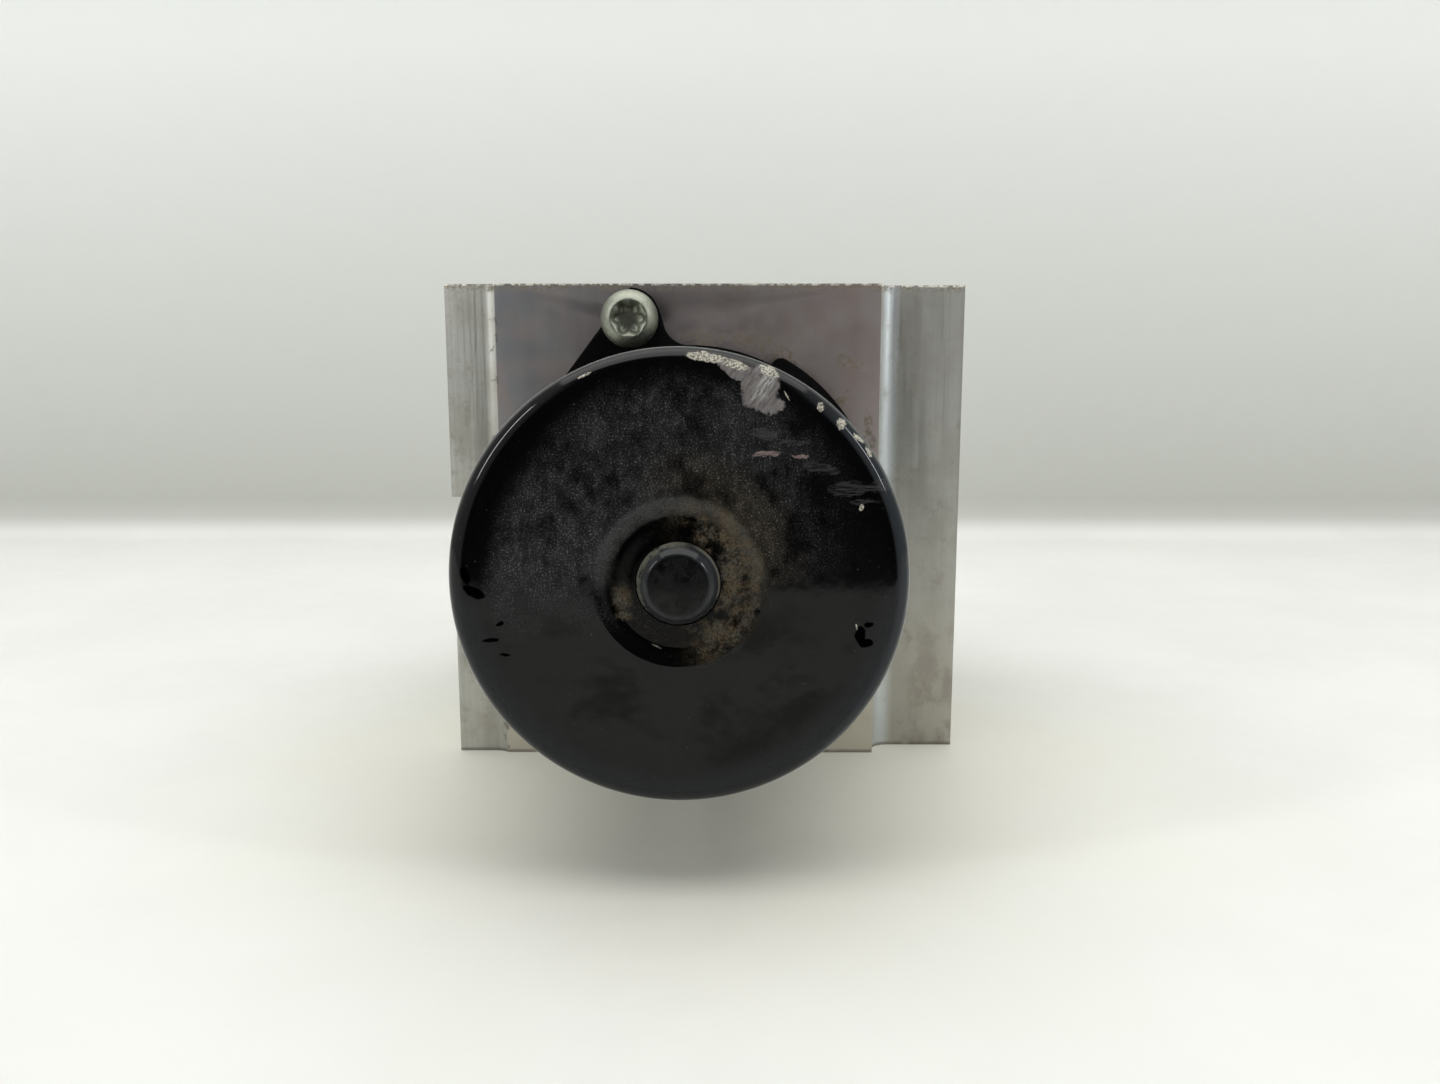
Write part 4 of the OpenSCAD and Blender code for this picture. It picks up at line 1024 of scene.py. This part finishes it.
def make_collar_details():
    """Lever pegs, guide ribs, seal bead and coding keys on the connector collar."""
    low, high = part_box("connector_collar")
    half_w, half_h = (high.x - low.x) / 2 / MM, (high.z - low.z) / 2 / MM
    middle_z = (high.z + low.z) / 2 / MM
    mouth = high.y / MM
    rib_y = mouth - 7.2
    peg = [(0, -0.6), (2.1, -0.6), (2.1, 1.0), (2.6, 1.25), (2.6, 1.7), (2.3, 2.0), (0, 2.0)]
    parts = []
    for side in (-1, 1):
        parts.append((turned(peg, 48), facing((side, 0, 0), (side * half_w, mouth - 6.5, middle_z))))
    parts.append(frame_bar(2 * half_w + 1.2, 2 * half_h + 1.2, 4.6, 1.0, mouth - 13.9, mouth - 12.2,
                           middle_z))
    for x in (-24, -8, 8, 24):
        parts += [bar((1.8, 11, 1.6), (x, rib_y, middle_z + side * (half_h + 0.3))) for side in (-1, 1)]
    for x in (-22, 6, 22):
        parts.append(bar((1.4, 11, 1.4), (x, rib_y, middle_z + half_h - 2.4), 0.25))
    return finished(gathered("collar_keys", parts), "housing_plastic")


def make_pins():
    """Square connector pins with tapered tips, twelve in each of two rows."""
    low, high = (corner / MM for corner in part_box("connector_pins"))
    half, tip, count = 0.4, 1.1, 12
    pitch = (high.x - low.x - 2 * half) / (count - 1)
    parts = []
    for i in range(count):
        for z in (low.z + half, high.z - half):
            x = low.x + half + i * pitch
            bm = bmesh.new()
            rows = []
            for r, y in ((half, low.y), (half, high.y - tip), (half * 0.45, high.y)):
                corners = ((-r, -r), (r, -r), (r, r), (-r, r))
                rows.append([bm.verts.new((x + a, y, z + b)) for a, b in corners])
            skin(bm, rows)
            bm.faces.new(rows[0])
            bm.faces.new(rows[-1])
            parts.append((bm, IN_PLACE))
    return finished(gathered("connector_pin_set", parts), node_slots["connector_pins"], "connector_pins")


def make_springs():
    """Smooth copies of the springs named in the joints' deforming nodes, each called after its node."""
    for joint in frame["joints"]:
        for spring in joint.get("deforming_nodes", []):
            node, letter = spring["node"], spring["mode"][-1]
            along = "xyz".index(letter)
            fixed_end = spring[f"fixed_end_{letter}_m"]
            low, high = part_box(node)
            axis, anchor = Vector((0, 0, 0)), (low + high) / 2
            axis[along], anchor[along] = 1, fixed_end
            mesh = mesh_from(welded(node), node + "_coil")
            smooth(mesh, 60)
            piece = finished(new_object(node + "_coil", mesh), node_slots[node], node)
            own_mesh(piece)


softened("valve_block", 0.3, block_metal())
softened("motor_flange", 0.5)
softened("ecu_housing", 0.5)
softened("ecu_cover", 0.4)
softened("connector_collar", 0.4)
make_can()
make_can_bead()
make_flange_screws()
make_port_threads()
make_pump_plugs()
make_staking()
make_gallery_plugs()
make_accumulator_caps()
make_ecu_screws()
make_ecu_ribs()
make_cover_details()
make_breather()
make_collar_details()
make_pins()
make_springs()
